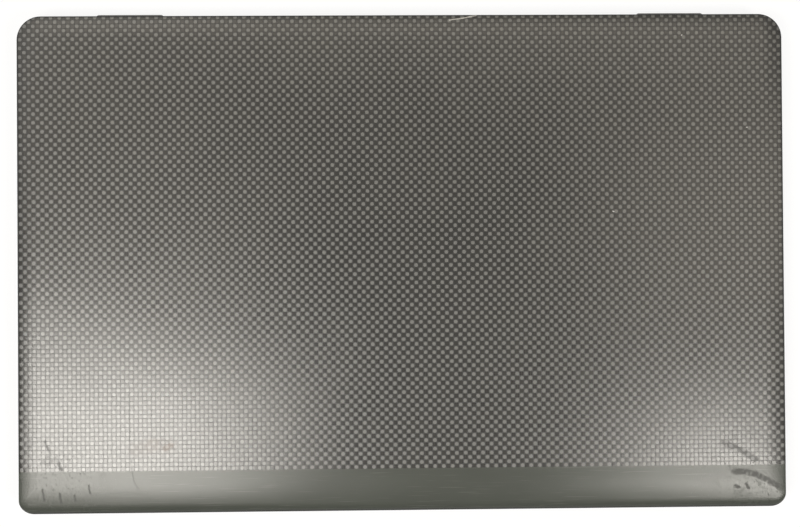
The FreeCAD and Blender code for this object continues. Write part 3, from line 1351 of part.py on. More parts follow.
def build_video_port():
    """A video port: a metal sleeve with slanted lower corners and a tongue."""
    body = new_body()
    for kind, start, inset in (
        ("Pad", "board_side", "0"),
        ("Pocket", "board_side + 2 * port_shell", "port_shell"),
    ):
        sketch = new_sketch(body, start, "YZ_Plane")
        half, low, high = (
            f"(video_width / 2 - {inset})",
            f"(port_z - video_height / 2 + {inset})",
            f"(port_z + video_height / 2 - {inset})",
        )
        draw_polygon(
            sketch,
            [
                (f"video_y - {half} + video_step", low),
                (f"video_y + {half} - video_step", low),
                (f"video_y + {half}", f"{low} + video_step"),
                (f"video_y + {half}", high),
                (f"video_y - {half}", high),
                (f"video_y - {half}", f"{low} + video_step"),
            ],
        )
        extrude(body, kind, sketch, f"{PORT_FACE} - board_side")
    return fuse(body, port_tongue("video_y", "video_width - 4", "video_height / 4", "0.3"))


def check_document():
    """Stops if any object failed, or any sub-part has no sound shape."""
    failed = [item.Name for item in doc.Objects if {"Invalid", "Error"} & set(item.State)]
    if failed:
        raise RuntimeError(f"failed objects: {failed}")
    for name, item in nodes.items():
        if item.Shape.isNull() or not item.Shape.isValid() or not item.Shape.Solids:
            raise RuntimeError(f"{name} has no sound solid")


def main():
    """Builds every sub-part, checks it and writes it to its own file."""
    fill_sheet()
    build_lid_shell()
    build_display()
    build_camera()
    build_hinges()
    build_palmrest()
    build_bottom_cover()
    build_keyboard()
    build_touchpad()
    build_boards()
    build_cooling()
    build_battery()
    build_ports()
    doc.recompute()
    check_document()
    os.makedirs("parts", exist_ok=True)
    for name, item in nodes.items():
        item.Shape.exportStep(os.path.join("parts", f"{name}.step"))
    print(f"{len(nodes)} sub-parts, {sum(len(item.Shape.Solids) for item in nodes.values())} solids")


main()
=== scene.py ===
"""A slim laptop with a woven-fibre lid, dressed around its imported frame.

Lengths inside the classes are millimetres in the frame's own axes (+X to the user's right, +Y to the
hinges, +Z up); meshes are scaled to metres as they are made.
"""

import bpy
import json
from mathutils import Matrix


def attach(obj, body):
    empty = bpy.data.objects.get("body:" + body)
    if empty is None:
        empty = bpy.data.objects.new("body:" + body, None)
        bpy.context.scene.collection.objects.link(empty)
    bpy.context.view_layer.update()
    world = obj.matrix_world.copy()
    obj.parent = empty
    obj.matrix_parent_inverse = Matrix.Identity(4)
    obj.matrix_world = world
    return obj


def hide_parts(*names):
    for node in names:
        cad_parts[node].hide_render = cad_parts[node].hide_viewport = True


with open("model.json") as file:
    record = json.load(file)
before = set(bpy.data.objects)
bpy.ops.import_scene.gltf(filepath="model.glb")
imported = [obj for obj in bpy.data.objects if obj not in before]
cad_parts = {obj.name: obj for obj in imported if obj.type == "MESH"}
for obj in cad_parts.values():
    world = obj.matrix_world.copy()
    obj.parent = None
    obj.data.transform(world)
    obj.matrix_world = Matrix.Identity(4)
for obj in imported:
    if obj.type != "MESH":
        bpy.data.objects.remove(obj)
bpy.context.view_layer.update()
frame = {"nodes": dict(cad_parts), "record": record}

import json
import logging
import math
from dataclasses import dataclass, field
from enum import Enum
from typing import Callable, Iterable, Sequence

import bmesh
import bpy
from mathutils import Matrix, Quaternion, Vector

log = logging.getLogger("laptop")

BMesh = bmesh.types.BMesh
Object = bpy.types.Object
Socket = bpy.types.NodeSocket

MM = 0.001
Colour = tuple[float, float, float]
Point = tuple[float, float]
Place = tuple[float, float, float]
Ring = list[Place]
STREAK_CORE = 0.35  # share of a streak's width that it covers fully


def tint(colour: Colour, factor: float) -> Colour:
    """Makes a colour lighter or darker."""
    return tuple(factor * c for c in colour)


def turns(count: int) -> list[Point]:
    """Gives the cosine and sine of angles spread evenly round a circle."""
    return [(math.cos(a), math.sin(a)) for a in (2 * math.pi * i / count for i in range(count))]


# Shader kit


def arithmetic(operation: str, swapped: bool = False) -> Callable[..., "Signal"]:
    """Makes a method that adds a Math node to its signal.

    Args:
        operation: what the node does.
        swapped: True where the signal is the second value.

    Returns:
        The method.
    """

    def method(self: "Signal", *others: "Signal | float") -> "Signal":
        """Adds the node and returns its result."""
        values = (*others, self) if swapped else (self, *others)
        return self.kit.math(operation, *values)

    return method


class Signal:
    """A number that varies over a surface; arithmetic on it adds Math nodes."""

    def __init__(self, kit: "ShaderKit", socket: Socket) -> None:
        self.kit = kit
        self.socket = socket

    __add__ = __radd__ = arithmetic("ADD")
    __sub__ = arithmetic("SUBTRACT")
    __rsub__ = arithmetic("SUBTRACT", swapped=True)
    __mul__ = __rmul__ = arithmetic("MULTIPLY")
    __truediv__ = arithmetic("DIVIDE")
    __rtruediv__ = arithmetic("DIVIDE", swapped=True)
    __pow__ = arithmetic("POWER")
    __rpow__ = arithmetic("POWER", swapped=True)
    __abs__ = arithmetic("ABSOLUTE")


class ShaderKit:
    """One material's node tree and the few ways in which nodes are added to it."""

    def __init__(self, name: str) -> None:
        """Makes an empty material.

        Args:
            name: the material's name.
        """
        self.material = bpy.data.materials.new(name)
        self.material.use_nodes = True
        self.tree = self.material.node_tree
        self.tree.nodes.clear()
        place = self.node("ShaderNodeTexCoord")
        sockets = {0: place.outputs["Object"], "Scale": 1 / MM}
        scaled = self.node("ShaderNodeVectorMath", {"operation": "SCALE"}, sockets)
        self.place = scaled.outputs[0]
        parts = self.node("ShaderNodeSeparateXYZ", {}, {0: self.place})
        self.x, self.y, self.z = (Signal(self, socket) for socket in parts.outputs)

    def node(
        self, kind: str, settings: dict | None = None, sockets: dict | None = None
    ) -> bpy.types.Node:
        """Adds one node.

        Args:
            kind: the node's type.
            settings: the node's own properties, set first.
            sockets: values or links of its inputs, by name or place.

        Returns:
            The node.
        """
        made = self.tree.nodes.new(kind)
        for key, value in (settings or {}).items():
            setattr(made, key, value)
        for key, value in (sockets or {}).items():
            self.feed(made.inputs[key], value)
        return made

    def feed(self, socket: Socket, value: object) -> None:
        """Links a signal or socket to an input, or sets its plain value."""
        if isinstance(value, Signal):
            value = value.socket
        if isinstance(value, Socket):
            self.tree.links.new(value, socket)
        elif socket.type == "RGBA" and len(value) == 3:
            socket.default_value = (*value, 1.0)
        else:
            socket.default_value = value

    def math(self, operation: str, *values: "Signal | float") -> Signal:
        """Adds a Math node and returns its result."""
        made = self.node("ShaderNodeMath", {"operation": operation}, dict(enumerate(values)))
        return Signal(self, made.outputs[0])

    def smooth(self, value: Signal, low: float | Signal, high: float | Signal) -> Signal:
        """Eases a signal from 0 at its low value to 1 at its high one, which may lie below."""
        sockets = {"Value": value, "From Min": low, "From Max": high}
        made = self.node("ShaderNodeMapRange", {"interpolation_type": "SMOOTHSTEP"}, sockets)
        return Signal(self, made.outputs[0])

    def noise(self, size: float, stretch: Place = (1, 1, 1), detail: float = 2.0) -> Signal:
        """Adds a soft random pattern.

        Args:
            size: size of its blots in millimetres.
            stretch: how much longer they are along each axis.
            detail: octaves of finer pattern.

        Returns:
            A signal around 0.5.
        """
        grid = tuple(1 / (size * long) for long in stretch)
        laid = self.node("ShaderNodeVectorMath", {"operation": "MULTIPLY"}, {0: self.place, 1: grid})
        sockets = {"Vector": laid.outputs[0], "Scale": 1.0, "Detail": detail}
        made = self.node("ShaderNodeTexNoise", {}, sockets)
        return Signal(self, made.outputs[0])

    def cells(self, size: float) -> Signal:
        """Adds a pattern of random cells and returns the distance to their middles."""
        made = self.node("ShaderNodeTexVoronoi", {}, {"Vector": self.place, "Scale": 1 / size})
        return Signal(self, made.outputs["Distance"])

    def blend(self, factor: Signal, first: object, second: object) -> Socket:
        """Mixes two colours or colour sockets, with the first one where the factor is 0."""
        made = self.node("ShaderNodeMix", {"data_type": "RGBA"}, {0: factor, 6: first, 7: second})
        return made.outputs[2]

    def bump(self, height: Signal, depth: float, under: Socket | None = None) -> Socket:
        """Turns a height into a normal.

        Args:
            height: the height, of about 0 to 1.
            depth: what a height of 1 stands for, in millimetres.
            under: a normal that it lies on.

        Returns:
            The normal socket.
        """
        sockets = {"Strength": 1.0, "Distance": depth * MM, "Height": height}
        if under is not None:
            sockets["Normal"] = under
        return self.node("ShaderNodeBump", {}, sockets).outputs[0]

    def segment(self, start: Point, end: Point, width: float) -> Signal:
        """Marks a thin soft streak on the top face.

        Args:
            start: one end in millimetres.
            end: the other end.
            width: half of its width.

        Returns:
            A mask, 1 along the streak.
        """
        run = (end[0] - start[0], end[1] - start[1])
        square = run[0] ** 2 + run[1] ** 2 or 1.0
        from_x, from_y = self.x - start[0], self.y - start[1]
        along = self.math("MAXIMUM", (from_x * run[0] + from_y * run[1]) / square, 0.0)
        along = self.math("MINIMUM", along, 1.0)
        off_x, off_y = from_x - along * run[0], from_y - along * run[1]
        return self.smooth(self.distance(off_x, off_y), width, width * STREAK_CORE)

    def distance(self, x: Signal, y: Signal) -> Signal:
        """Gives the length of a step across and along."""
        return self.math("SQRT", x * x + y * y)

    def surface(
        self, colour: object, roughness: Signal, normal: object, others: dict | None = None
    ) -> None:
        """Adds the surface shader and the output.

        Args:
            colour: the base colour.
            roughness: the roughness.
            normal: the normal.
            others: values or links of the shader's other inputs.
        """
        sockets = {"Base Color": colour, "Roughness": roughness, "Normal": normal, **(others or {})}
        shader = self.node("ShaderNodeBsdfPrincipled", {}, sockets)
        self.node("ShaderNodeOutputMaterial", {}, {"Surface": shader.outputs[0]})


# Finishes


class Finish:
    """A finish that paints one material and hands out the same one each time."""

    name: str

    def paint(self, kit: ShaderKit) -> None:
        """Adds the finish's nodes."""
        raise NotImplementedError

    def material(self) -> bpy.types.Material:
        """Gives the material, made on its first use."""
        label = f"finish_{self.name}"
        found = bpy.data.materials.get(label)
        if found is None:
            kit = ShaderKit(label)
            self.paint(kit)
            found = kit.material
        return found


class Wear(Enum):
    """What a mark on the lid looks like."""

    SCRATCH = (0.42, 0.41, 0.38)
    SCUFF = (0.020, 0.020, 0.018)
    STAIN = (0.11, 0.07, 0.045)
    DUST = (0.75, 0.74, 0.72)


@dataclass(frozen=True)
class Mark:
    """One worn place on the lid."""

    kind: Wear
    path: tuple[Point, ...]  # its points in millimetres; a single point is a spot
    width: float  # half of its width
    strength: float  # how much it covers


STRIP_MARKS = (
    Mark(Wear.SCUFF, ((-150.6, -94.1), (-149.8, -98.2)), 0.7, 0.8),
    Mark(Wear.SCUFF, ((-143.4, -96.0), (-142.9, -99.4)), 0.7, 0.8),
    Mark(Wear.SCUFF, ((-137.4, -96.6), (-137.0, -99.0)), 0.6, 0.7),
    Mark(Wear.SCUFF, ((-131.4, -92.6), (-130.8, -96.0)), 0.6, 0.7),
    Mark(Wear.SCUFF, ((-113.4, -86.8), (-112.6, -91.4), (-110.6, -94.6)), 0.24, 0.4),
    Mark(Wear.SCUFF, ((-131.3, -96.2), (-119.0, -95.8), (-107.5, -95.9)), 0.24, 0.22),
    Mark(Wear.SCUFF, ((138.5, -89.5), (143.2, -89.6), (147.8, -90.8), (157.0, -95.6)), 1.7, 0.75),
    Mark(Wear.SCUFF, ((139.0, -95.6), (140.4, -96.1)), 1.0, 0.8),
    Mark(Wear.SCUFF, ((143.5, -95.0), (144.6, -96.5)), 1.0, 0.8),
)
WEAVE_MARKS = (
    Mark(Wear.SCUFF, ((-114.6, -55.1), (-114.2, -77.9), (-113.4, -86.8)), 0.24, 0.4),
    Mark(Wear.STAIN, ((-112.0, -78.0), (-105.0, -76.0), (-98.2, -76.6)), 4.2, 0.14),
    Mark(Wear.STAIN, ((-100.0, -77.6), (-97.4, -76.4)), 1.7, 0.4),
    Mark(Wear.SCUFF, ((-144.4, -82.0), (-142.6, -85.9)), 1.0, 0.7),
    Mark(Wear.SCUFF, ((-149.4, -74.0), (-147.6, -78.9)), 0.7, 0.6),
    Mark(Wear.SCUFF, ((133.9, -77.3), (141.0, -80.2), (147.8, -84.6)), 1.6, 0.75),
    Mark(Wear.SCUFF, ((142.0, -73.0), (148.0, -73.6), (154.5, -76.0)), 0.3, 0.35),
    Mark(Wear.SCRATCH, ((20.2, 100.9), (26.0, 101.7), (31.6, 102.9)), 0.36, 0.6),
    Mark(Wear.DUST, ((145.2, 55.2), (145.5, 55.2)), 0.3, 0.5),
    Mark(Wear.DUST, ((88.4, 20.2), (88.8, 20.0)), 0.3, 0.5),
    Mark(Wear.DUST, ((118.0, 94.1), (118.2, 94.3)), 0.3, 0.4),
)


CORNER_SIDES = (112.0, 150.0)  # distance from the middle over which corner wear sets in
CORNER_FRONT = (-58.0, -92.0)  # Y over which it sets in
FINE_MARK = 0.4  # narrower marks are unbroken
GLOSS_LOST = 0.22  # roughness that a worn place gains
EDGE_MATT = 0.6  # roughness that the lid's edges gain


def wear(kit: ShaderKit, base: object, marks: Iterable[Mark]) -> tuple[Socket, Signal]:
    """Lays worn marks and the nicks of the two front corners over a colour.

    Args:
        kit: the material's kit.
        base: the colour under them.
        marks: the marks.

    Returns:
        The colour socket and a mask of the places that have lost their gloss.
    """
    corner = kit.smooth(abs(kit.x), *CORNER_SIDES) * kit.smooth(kit.y, *CORNER_FRONT)
    nicks = kit.smooth(kit.noise(0.5, stretch=(1, 3, 1)), 0.63, 0.70) * corner
    rubbed = kit.smooth(kit.noise(5.0, detail=4.0), 0.55, 0.70) * corner * 0.35
    base = kit.blend(nicks * 0.7, base, Wear.SCUFF.value)
    dull = kit.math("MAXIMUM", nicks, rubbed)
    broken = kit.smooth(kit.noise(0.9, detail=4.0), 0.28, 0.52)
    for mark in marks:
        for start, end in zip(mark.path, mark.path[1:]):
            cover = kit.segment(start, end, mark.width) * mark.strength
            cover = cover if mark.width < FINE_MARK else cover * broken
            base = kit.blend(cover, base, mark.kind.value)
            if mark.kind in (Wear.SCUFF, Wear.STAIN):
                dull = kit.math("MAXIMUM", dull, cover)
    return base, dull


@dataclass(frozen=True)
class WovenFibre(Finish):
    """Plain-woven fibre under a satin lacquer."""

    name: str = "woven_fibre"
    pitch: float = 1.83  # width of one tow
    wander: float = 0.45  # how far the tows stray from straight lines
    over: Colour = (0.014, 0.013, 0.007)  # colour of the crowns of the tows that run across
    under: Colour = (0.013, 0.012, 0.009)  # colour of the tows that run front to back
    seam: Colour = (0.004, 0.004, 0.0035)  # colour of the gaps between tows
    edge: Colour = (0.005, 0.005, 0.005)  # colour of the plain lacquer on the lid's edges, darkened as painted shade
    relief: float = 0.012  # height of a tow's crown
    roughness: float = 0.20  # roughness of the tows that run front to back
    spread: float = 0.05  # how much rougher the tows that run across are
    rim: Point = (17.10, 16.90)  # heights between which the weave ends at the lid's edges and their painted shade begins
    left_shade: Point = (-161.0, -138.0)  # X between which painted shade on the crowns lifts away from the left edge
    left_shade_floor: float = 0.25  # share of the crowns' colour left at that edge under the painted shade

    def paint(self, kit: ShaderKit) -> None:
        """Weaves the tows, gives them fibres, crowns and painted highlight glints, paints shade at the
        edges and left side, lays wear over them.
        """
        wander_x, wander_y = kit.noise(5.0, detail=1.0), kit.noise(5.3, detail=1.0)
        at_x = (kit.x + (wander_x - 0.5) * self.wander) / self.pitch
        at_y = (kit.y + (wander_y - 0.5) * self.wander) / self.pitch
        wave_x, wave_y = kit.math("COSINE", at_x * math.pi), kit.math("COSINE", at_y * math.pi)
        crown_x, crown_y = abs(wave_x), abs(wave_y)
        across = kit.smooth(wave_x * wave_y, -0.05, 0.05)
        crown = kit.smooth(crown_x * crown_y, 0.18, 0.44)
        tow = kit.smooth(kit.math("MINIMUM", crown_x, crown_y), 0.06, 0.34)
        square = {0: kit.math("ROUND", at_x), 1: kit.math("ROUND", at_y)}
        cell = kit.node("ShaderNodeCombineXYZ", {}, square).outputs[0]
        chance = kit.node("ShaderNodeTexWhiteNoise", {"noise_dimensions": "2D"}, {"Vector": cell})
        luck = Signal(kit, chance.outputs["Value"])
        fibre_x = kit.noise(0.16, stretch=(18, 1, 1))
        fibre_y = kit.noise(0.16, stretch=(1, 18, 1))
        fibre = fibre_x * across + fibre_y * (1 - across)
        grease = kit.noise(34.0, detail=3.0)
        shade = kit.smooth(fibre * 0.5 + luck * 0.25 + grease * 0.5, 0.3, 0.95)
        light = kit.blend(shade, tint(self.over, 0.7), tint(self.over, 1.3))
        dark = kit.blend(shade, tint(self.under, 0.75), tint(self.under, 1.25))
        woven = kit.blend(tow, self.seam, dark)
        # painted shade: the light crowns dim towards the lid's left edge
        left_shade = kit.smooth(kit.x, *self.left_shade) * (1 - self.left_shade_floor) + self.left_shade_floor
        woven = kit.blend(across * crown * left_shade, woven, light)
        # painted highlight: a glint painted on the front lip of each crossing tow, lighter than its
        # crown
        lip = kit.smooth(kit.math("SINE", at_y * math.pi) * kit.math("SIGN", wave_y), -0.62, -0.86)
        lip = lip * kit.smooth(crown_y, 0.12, 0.3) * kit.smooth(crown_x, 0.45, 0.7) * across
        woven = kit.blend(lip * 0.5, woven, tint(self.over, 1.5))
        # the lid's edges take plain lacquer, darkened as painted shade into a dark shadow line
        rim = kit.smooth(kit.z, *self.rim)
        woven = kit.blend(rim, woven, self.edge)
        round_x, round_y = 1 - (1 - crown_x) ** 2.0, 1 - (1 - crown_y) ** 2.0
        height = across * (round_y * 0.65 + crown_x * 0.35)
        height = height + (1 - across) * (round_x * 0.65 + crown_y * 0.35)
        fine = kit.bump(fibre * (1 - rim), 0.003)
        worn, dull = wear(kit, woven, WEAVE_MARKS)
        lacquer = across * self.spread + (1 - tow) * 0.10
        lacquer = self.roughness + (grease - 0.5) * 0.08 + lacquer * (1 - rim)
        sheen = {
            "Specular IOR Level": 0.4,
            "Coat Weight": across * crown * (1 - rim),
            "Coat Roughness": 0.42,
            "Coat IOR": 1.6,
        }
        rough = lacquer + rim * EDGE_MATT + dull * GLOSS_LOST
        kit.surface(worn, rough, kit.bump(height * (1 - rim), self.relief, fine), sheen)


@dataclass(frozen=True)
class SatinLacquer(Finish):
    """Smooth satin lacquer of the plain strip along the lid's front."""

    name: str = "satin_lacquer"
    colour: Colour = (0.036, 0.040, 0.032)
    scratch: Colour = (0.3, 0.3, 0.28)  # colour of its hairline scratches
    edge: Colour = (0.005, 0.005, 0.005)  # painted shade: its near-black colour on the rolled front edge, a shadow line
    rim: Point = (16.7, 15.0)  # heights between which that painted shade sets in
    roughness: float = 0.25

    def paint(self, kit: ShaderKit) -> None:
        """Adds a fine orange peel, handling smears, painted shade on the rolled front edge and the
        strip's worn marks.
        """
        fine = kit.noise(0.35)
        smear = kit.noise(14.0, stretch=(3, 1, 1), detail=3.0)
        hair = kit.smooth(kit.noise(0.3, stretch=(60, 1, 1)), 0.62, 0.75)
        base = kit.blend(smear, tint(self.colour, 0.86), tint(self.colour, 1.14))
        base = kit.blend(hair * 0.12, base, self.scratch)
        # painted shade: the rolled front edge darkens into a near-black shadow line
        rim = kit.smooth(kit.z, *self.rim)
        base = kit.blend(rim, base, self.edge)
        worn, dull = wear(kit, base, STRIP_MARKS)
        rough = self.roughness + (smear - 0.5) * 0.06 + (fine - 0.5) * 0.04
        rough = rough + rim * EDGE_MATT + dull * GLOSS_LOST
        kit.surface(worn, rough, kit.bump(fine, 0.004), {"Specular IOR Level": 0.3})


@dataclass(frozen=True)
class Moulded(Finish):
    """Moulded plastic or rubber with an etched grain."""

    name: str
    colour: Colour
    roughness: float = 0.55
    grain: float = 0.35  # size of the grain
    depth: float = 0.012
    mottle: float = 0.12  # how far the colour drifts over a hand's width
    rub: float = 0.15  # how much rubbed, paler places show

    def paint(self, kit: ShaderKit) -> None:
        """Adds grain, a slow drift of colour and rubbed places."""
        fine = kit.noise(self.grain, detail=3.0)
        broad = kit.noise(26.0, detail=4.0)
        cloud = broad * 0.7 + fine * 0.3
        rubbed = kit.smooth(cloud, 0.54, 0.68)
        dark, light = tint(self.colour, 1 - self.mottle), tint(self.colour, 1 + self.mottle)
        pale = tuple(min(1.0, 1.5 * c + 0.01) for c in self.colour)
        base = kit.blend(rubbed * self.rub, kit.blend(cloud, dark, light), pale)
        rough = self.roughness + (fine - 0.5) * 0.12 - rubbed * 0.1
        kit.surface(base, rough, kit.bump(fine, self.depth), {"Specular IOR Level": 0.25})


@dataclass(frozen=True)
class Metal(Finish):
    """Rolled or drawn metal."""

    name: str
    colour: Colour
    roughness: float = 0.34
    stretch: Place = (30, 1, 1)  # how long the rolling lines run along each axis
    tarnish: Colour = (0.2, 0.19, 0.18)  # colour of its tarnish
    stained: float = 0.3  # how much tarnish shows

    def paint(self, kit: ShaderKit) -> None:
        """Adds rolling lines and tarnish."""
        lines = kit.noise(0.22, stretch=self.stretch, detail=3.0)
        clouds = kit.smooth(kit.noise(6.0, detail=4.0), 0.45, 0.75)
        base = kit.blend(lines, tint(self.colour, 0.85), self.colour)
        base = kit.blend(clouds * self.stained, base, self.tarnish)
        rough = self.roughness + (lines - 0.5) * 0.2 + clouds * 0.12
        bare = {"Metallic": 1 - clouds * (0.4 * self.stained)}
        kit.surface(base, rough, kit.bump(lines, 0.004), bare)


@dataclass(frozen=True)
class PortMetal(Finish):
    """Plated sleeve of a port round a dark tongue with gilded contacts."""

    name: str
    middles: tuple[float, ...]  # Y of the middle of each port
    half: float  # half of the tongue's width
    low: float  # height of the tongue's lower face
    high: float  # height of its upper face
    pitch: float  # distance from contact to contact
    front: float = 158.7  # how far out the contacts reach
    colour: Colour = (0.60, 0.59, 0.57)
    plastic: Colour = (0.016, 0.016, 0.017)  # the tongue's colour
    gold: Colour = (0.83, 0.58, 0.25)  # the contacts' colour

    def paint(self, kit: ShaderKit) -> None:
        """Draws the sleeve's rolling lines, the tongues and their contacts."""
        lines = kit.noise(0.2, stretch=(26, 1, 1), detail=3.0)
        level = abs(kit.z - (self.low + self.high) / 2)
        thick = (self.high - self.low) / 2
        layer = kit.smooth(level, thick + 0.05, thick + 0.01)
        tongue, contact = None, None
        for middle in self.middles:
            off = kit.y - middle
            inside = kit.smooth(abs(off), self.half + 0.05, self.half + 0.01) * layer
            strip = kit.smooth(kit.math("COSINE", off * (2 * math.pi / self.pitch)), -0.1, 0.1)
            strip = strip * inside * kit.smooth(abs(off), self.half - 0.2, self.half - 0.3)
            tongue = inside if tongue is None else kit.math("MAXIMUM", tongue, inside)
            contact = strip if contact is None else kit.math("MAXIMUM", contact, strip)
        contact = contact * kit.smooth(abs(kit.x), self.front + 0.1, self.front - 0.1)
        sleeve = kit.blend(lines, tint(self.colour, 0.82), self.colour)
        base = kit.blend(contact, kit.blend(tongue, sleeve, self.plastic), self.gold)
        rough = 0.3 + (lines - 0.5) * 0.2 + (tongue - contact) * 0.2
        normal = kit.bump(lines * 0.05 + contact, 0.05)
        kit.surface(base, rough, normal, {"Metallic": 1 - tongue + contact})


@dataclass(frozen=True)
class DisplayGlass(Finish):
    """Matt front sheet of the display, switched off."""

    name: str = "display_glass"
    pixel: float = 0.161  # width of a picture element
    colour: Colour = (0.011, 0.012, 0.014)
    film: Colour = (0.022, 0.023, 0.025)  # colour of the smears

    def paint(self, kit: ShaderKit) -> None:
        """Adds the fine grid of the panel, its anti-glare haze and a few wiped smears."""
        grid_x = abs(kit.math("SINE", kit.x * (math.pi / self.pixel)))
        grid_y = abs(kit.math("SINE", kit.y * (math.pi / self.pixel)))
        line = 1 - kit.smooth(kit.math("MINIMUM", grid_x, grid_y), 0.1, 0.35)
        haze = kit.noise(0.12)
        smear = kit.smooth(kit.noise(30.0, stretch=(2, 1, 1), detail=4.0), 0.45, 0.8)
        base = kit.blend(line, self.colour, tint(self.colour, 0.45))
        base = kit.blend(smear * 0.08, base, self.film)
        kit.surface(base, 0.25 + haze * 0.06 + smear * 0.025, kit.bump(haze, 0.0015))


@dataclass(frozen=True)
class CameraGlass(Finish):
    """Coated window of the camera."""

    name: str = "camera_glass"
    middle: float = -100.3  # Y of the window's middle
    colour: Colour = (0.006, 0.006, 0.012)  # the deep colour behind the window
    coating: Colour = (0.03, 0.022, 0.06)  # colour of the coating's ring
    depth: Colour = (0.002, 0.002, 0.003)  # colour of the pupil

    def paint(self, kit: ShaderKit) -> None:
        """Adds the coloured coating's rings round the window's middle and a little dust."""
        away = kit.distance(kit.x, kit.y - self.middle)
        pupil = kit.smooth(away, 0.75, 0.45)
        ring = kit.smooth(away, 0.8, 1.0) * kit.smooth(away, 1.3, 1.1)
        dust = kit.noise(0.2)
        base = kit.blend(pupil, kit.blend(ring, self.colour, self.coating), self.depth)
        kit.surface(base, 0.06 + dust * 0.06, kit.bump(dust, 0.0008), {"Coat Weight": 0.6})


@dataclass(frozen=True)
class Circuit(Finish):
    """Lacquered circuit board with tracks and soldered places."""

    name: str = "circuit"
    lacquer: Colour = (0.012, 0.045, 0.03)
    track: Colour = (0.03, 0.10, 0.06)  # colour of the lacquer over copper tracks
    resin: Colour = (0.012, 0.012, 0.013)  # colour of the packages
    tin: Colour = (0.6, 0.58, 0.54)  # colour of the solder

    def paint(self, kit: ShaderKit) -> None:
        """Adds tracks, small dark packages and bright solder dots."""
        bend = kit.smooth(kit.noise(7.0, detail=0.0), 0.47, 0.53)
        run_x = kit.smooth(abs(kit.math("SINE", kit.x * 4.2)), 0.75, 0.9)
        run_y = kit.smooth(abs(kit.math("SINE", kit.y * 4.2)), 0.75, 0.9)
        tracks = run_x * bend + run_y * (1 - bend)
        solder = kit.smooth(kit.cells(3.4), 0.16, 0.1)
        chip = kit.smooth(kit.noise(4.0, detail=0.0), 0.64, 0.66)
        base = kit.blend(chip, kit.blend(tracks, self.lacquer, self.track), self.resin)
        rough = 0.38 + chip * 0.2 - solder * 0.08
        normal = kit.bump(tracks * 0.3 + chip + solder, 0.04)
        kit.surface(kit.blend(solder, base, self.tin), rough, normal, {"Metallic": solder})


@dataclass(frozen=True)
class StudioFloor(Finish):
    """White table that the laptop lies on."""

    name: str = "studio_floor"
    colour: Colour = (0.86, 0.86, 0.85)
    # share of plain white that the camera sees in it, which leaves the rest to show the shadow
    glow: float = 0.86
    near: float = 350.0  # how far out that share begins to grow
    far: float = 900.0  # where the table is plain white

    def paint(self, kit: ShaderKit) -> None:
        """Shows plain white to the camera and to reflections, with the shadow left in."""
        path = kit.node("ShaderNodeLightPath")
        camera, gloss, clear = (
            Signal(kit, path.outputs[f"Is {kind} Ray"]) for kind in ("Camera", "Glossy", "Transmission")
        )
        seen = kit.math("MAXIMUM", camera, kit.math("MAXIMUM", gloss, clear))
        away = kit.distance(kit.x, kit.y)
        share = self.glow + (1 - self.glow) * kit.smooth(away, self.near, self.far)
        matt = kit.node("ShaderNodeBsdfDiffuse", {}, {"Color": self.colour})
        white = kit.node("ShaderNodeEmission", {}, {"Color": (1.0, 1.0, 1.0), "Strength": 1.0})
        shaders = {0: seen * share, 1: matt.outputs[0], 2: white.outputs[0]}
        both = kit.node("ShaderNodeMixShader", {}, shaders)
        kit.node("ShaderNodeOutputMaterial", {}, {"Surface": both.outputs[0]})


WOVEN = WovenFibre()
STRIP = SatinLacquer()
SHELL = Moulded("soft_shell", (0.033, 0.033, 0.034), 0.52, 0.28, 0.008, 0.12, 0.12)
COVER = Moulded("hinge_plastic", (0.070, 0.069, 0.064), 0.48, 0.25, 0.006, 0.1, 0.15)
CAP = Moulded("key_plastic", (0.016, 0.016, 0.017), 0.46, 0.22, 0.008, 0.12, 0.2)
LEGEND = Moulded("key_print", (0.62, 0.63, 0.64), 0.5, 0.15, 0.004, 0.06, 0.1)
RUBBER = Moulded("rubber", (0.022, 0.022, 0.022), 0.82, 0.5, 0.03, 0.15, 0.25)
SCREW_STEEL = Metal("screw_steel", (0.10, 0.10, 0.105), 0.4, (3, 3, 1), (0.03, 0.03, 0.03), 0.4)
SPECIAL_FINISHES: dict[str, Finish] = {
    "webcam_board": Circuit("dark_circuit", (0.010, 0.010, 0.011), (0.020, 0.020, 0.022)),
    "usb_a_ports": PortMetal("large_port", (24.0, 58.0), 5.1, 8.08, 9.88, 2.5),
    "usb_c_ports": PortMetal("small_port", (76.0, 62.0), 3.25, 7.54, 8.26, 0.55),
    "video_port": PortMetal("video_port", (44.0,), 5.5, 7.52, 8.88, 1.0),
}

SLOT_FINISHES: dict[str, Finish] = {
    "carbon_weave": WOVEN,
    "satin_strip": STRIP,
    "dark_shell": SHELL,
    "bezel_plastic": Moulded("bezel_plastic", (0.020, 0.020, 0.021), 0.5, 0.3, 0.012, 0.1, 0.08),
    "screen": DisplayGlass(),
    "lens": CameraGlass(),
    "keycap": CAP,
    "touch_surface": Moulded("touch_film", (0.030, 0.030, 0.031), 0.4, 0.18, 0.003, 0.08, 0.25),
    "rubber": RUBBER,
    "hinge_steel": Metal("hinge_steel", (0.16, 0.16, 0.165), 0.36, (1, 26, 1), (0.05, 0.05, 0.05)),
    "port_steel": Metal("port_steel", (0.62, 0.61, 0.59), 0.28, (26, 1, 1), (0.25, 0.24, 0.22), 0.2),
    "copper": Metal("copper", (0.72, 0.33, 0.19), 0.3, (20, 4, 1), (0.28, 0.13, 0.08), 0.5),
    "fin_metal": Metal("fin_metal", (0.60, 0.60, 0.61), 0.34, (1, 20, 1)),
    "sheet_metal": Metal("sheet_metal", (0.45, 0.45, 0.46), 0.4, (24, 1, 1)),
    "circuit_board": Circuit(),
    "cell_wrap": Moulded("cell_wrap", (0.016, 0.016, 0.018), 0.42, 2.2, 0.08, 0.2, 0.1),
    "panel_back": Metal("panel_back", (0.5, 0.5, 0.5), 0.45, (24, 2, 1)),
}


# Mesh kit


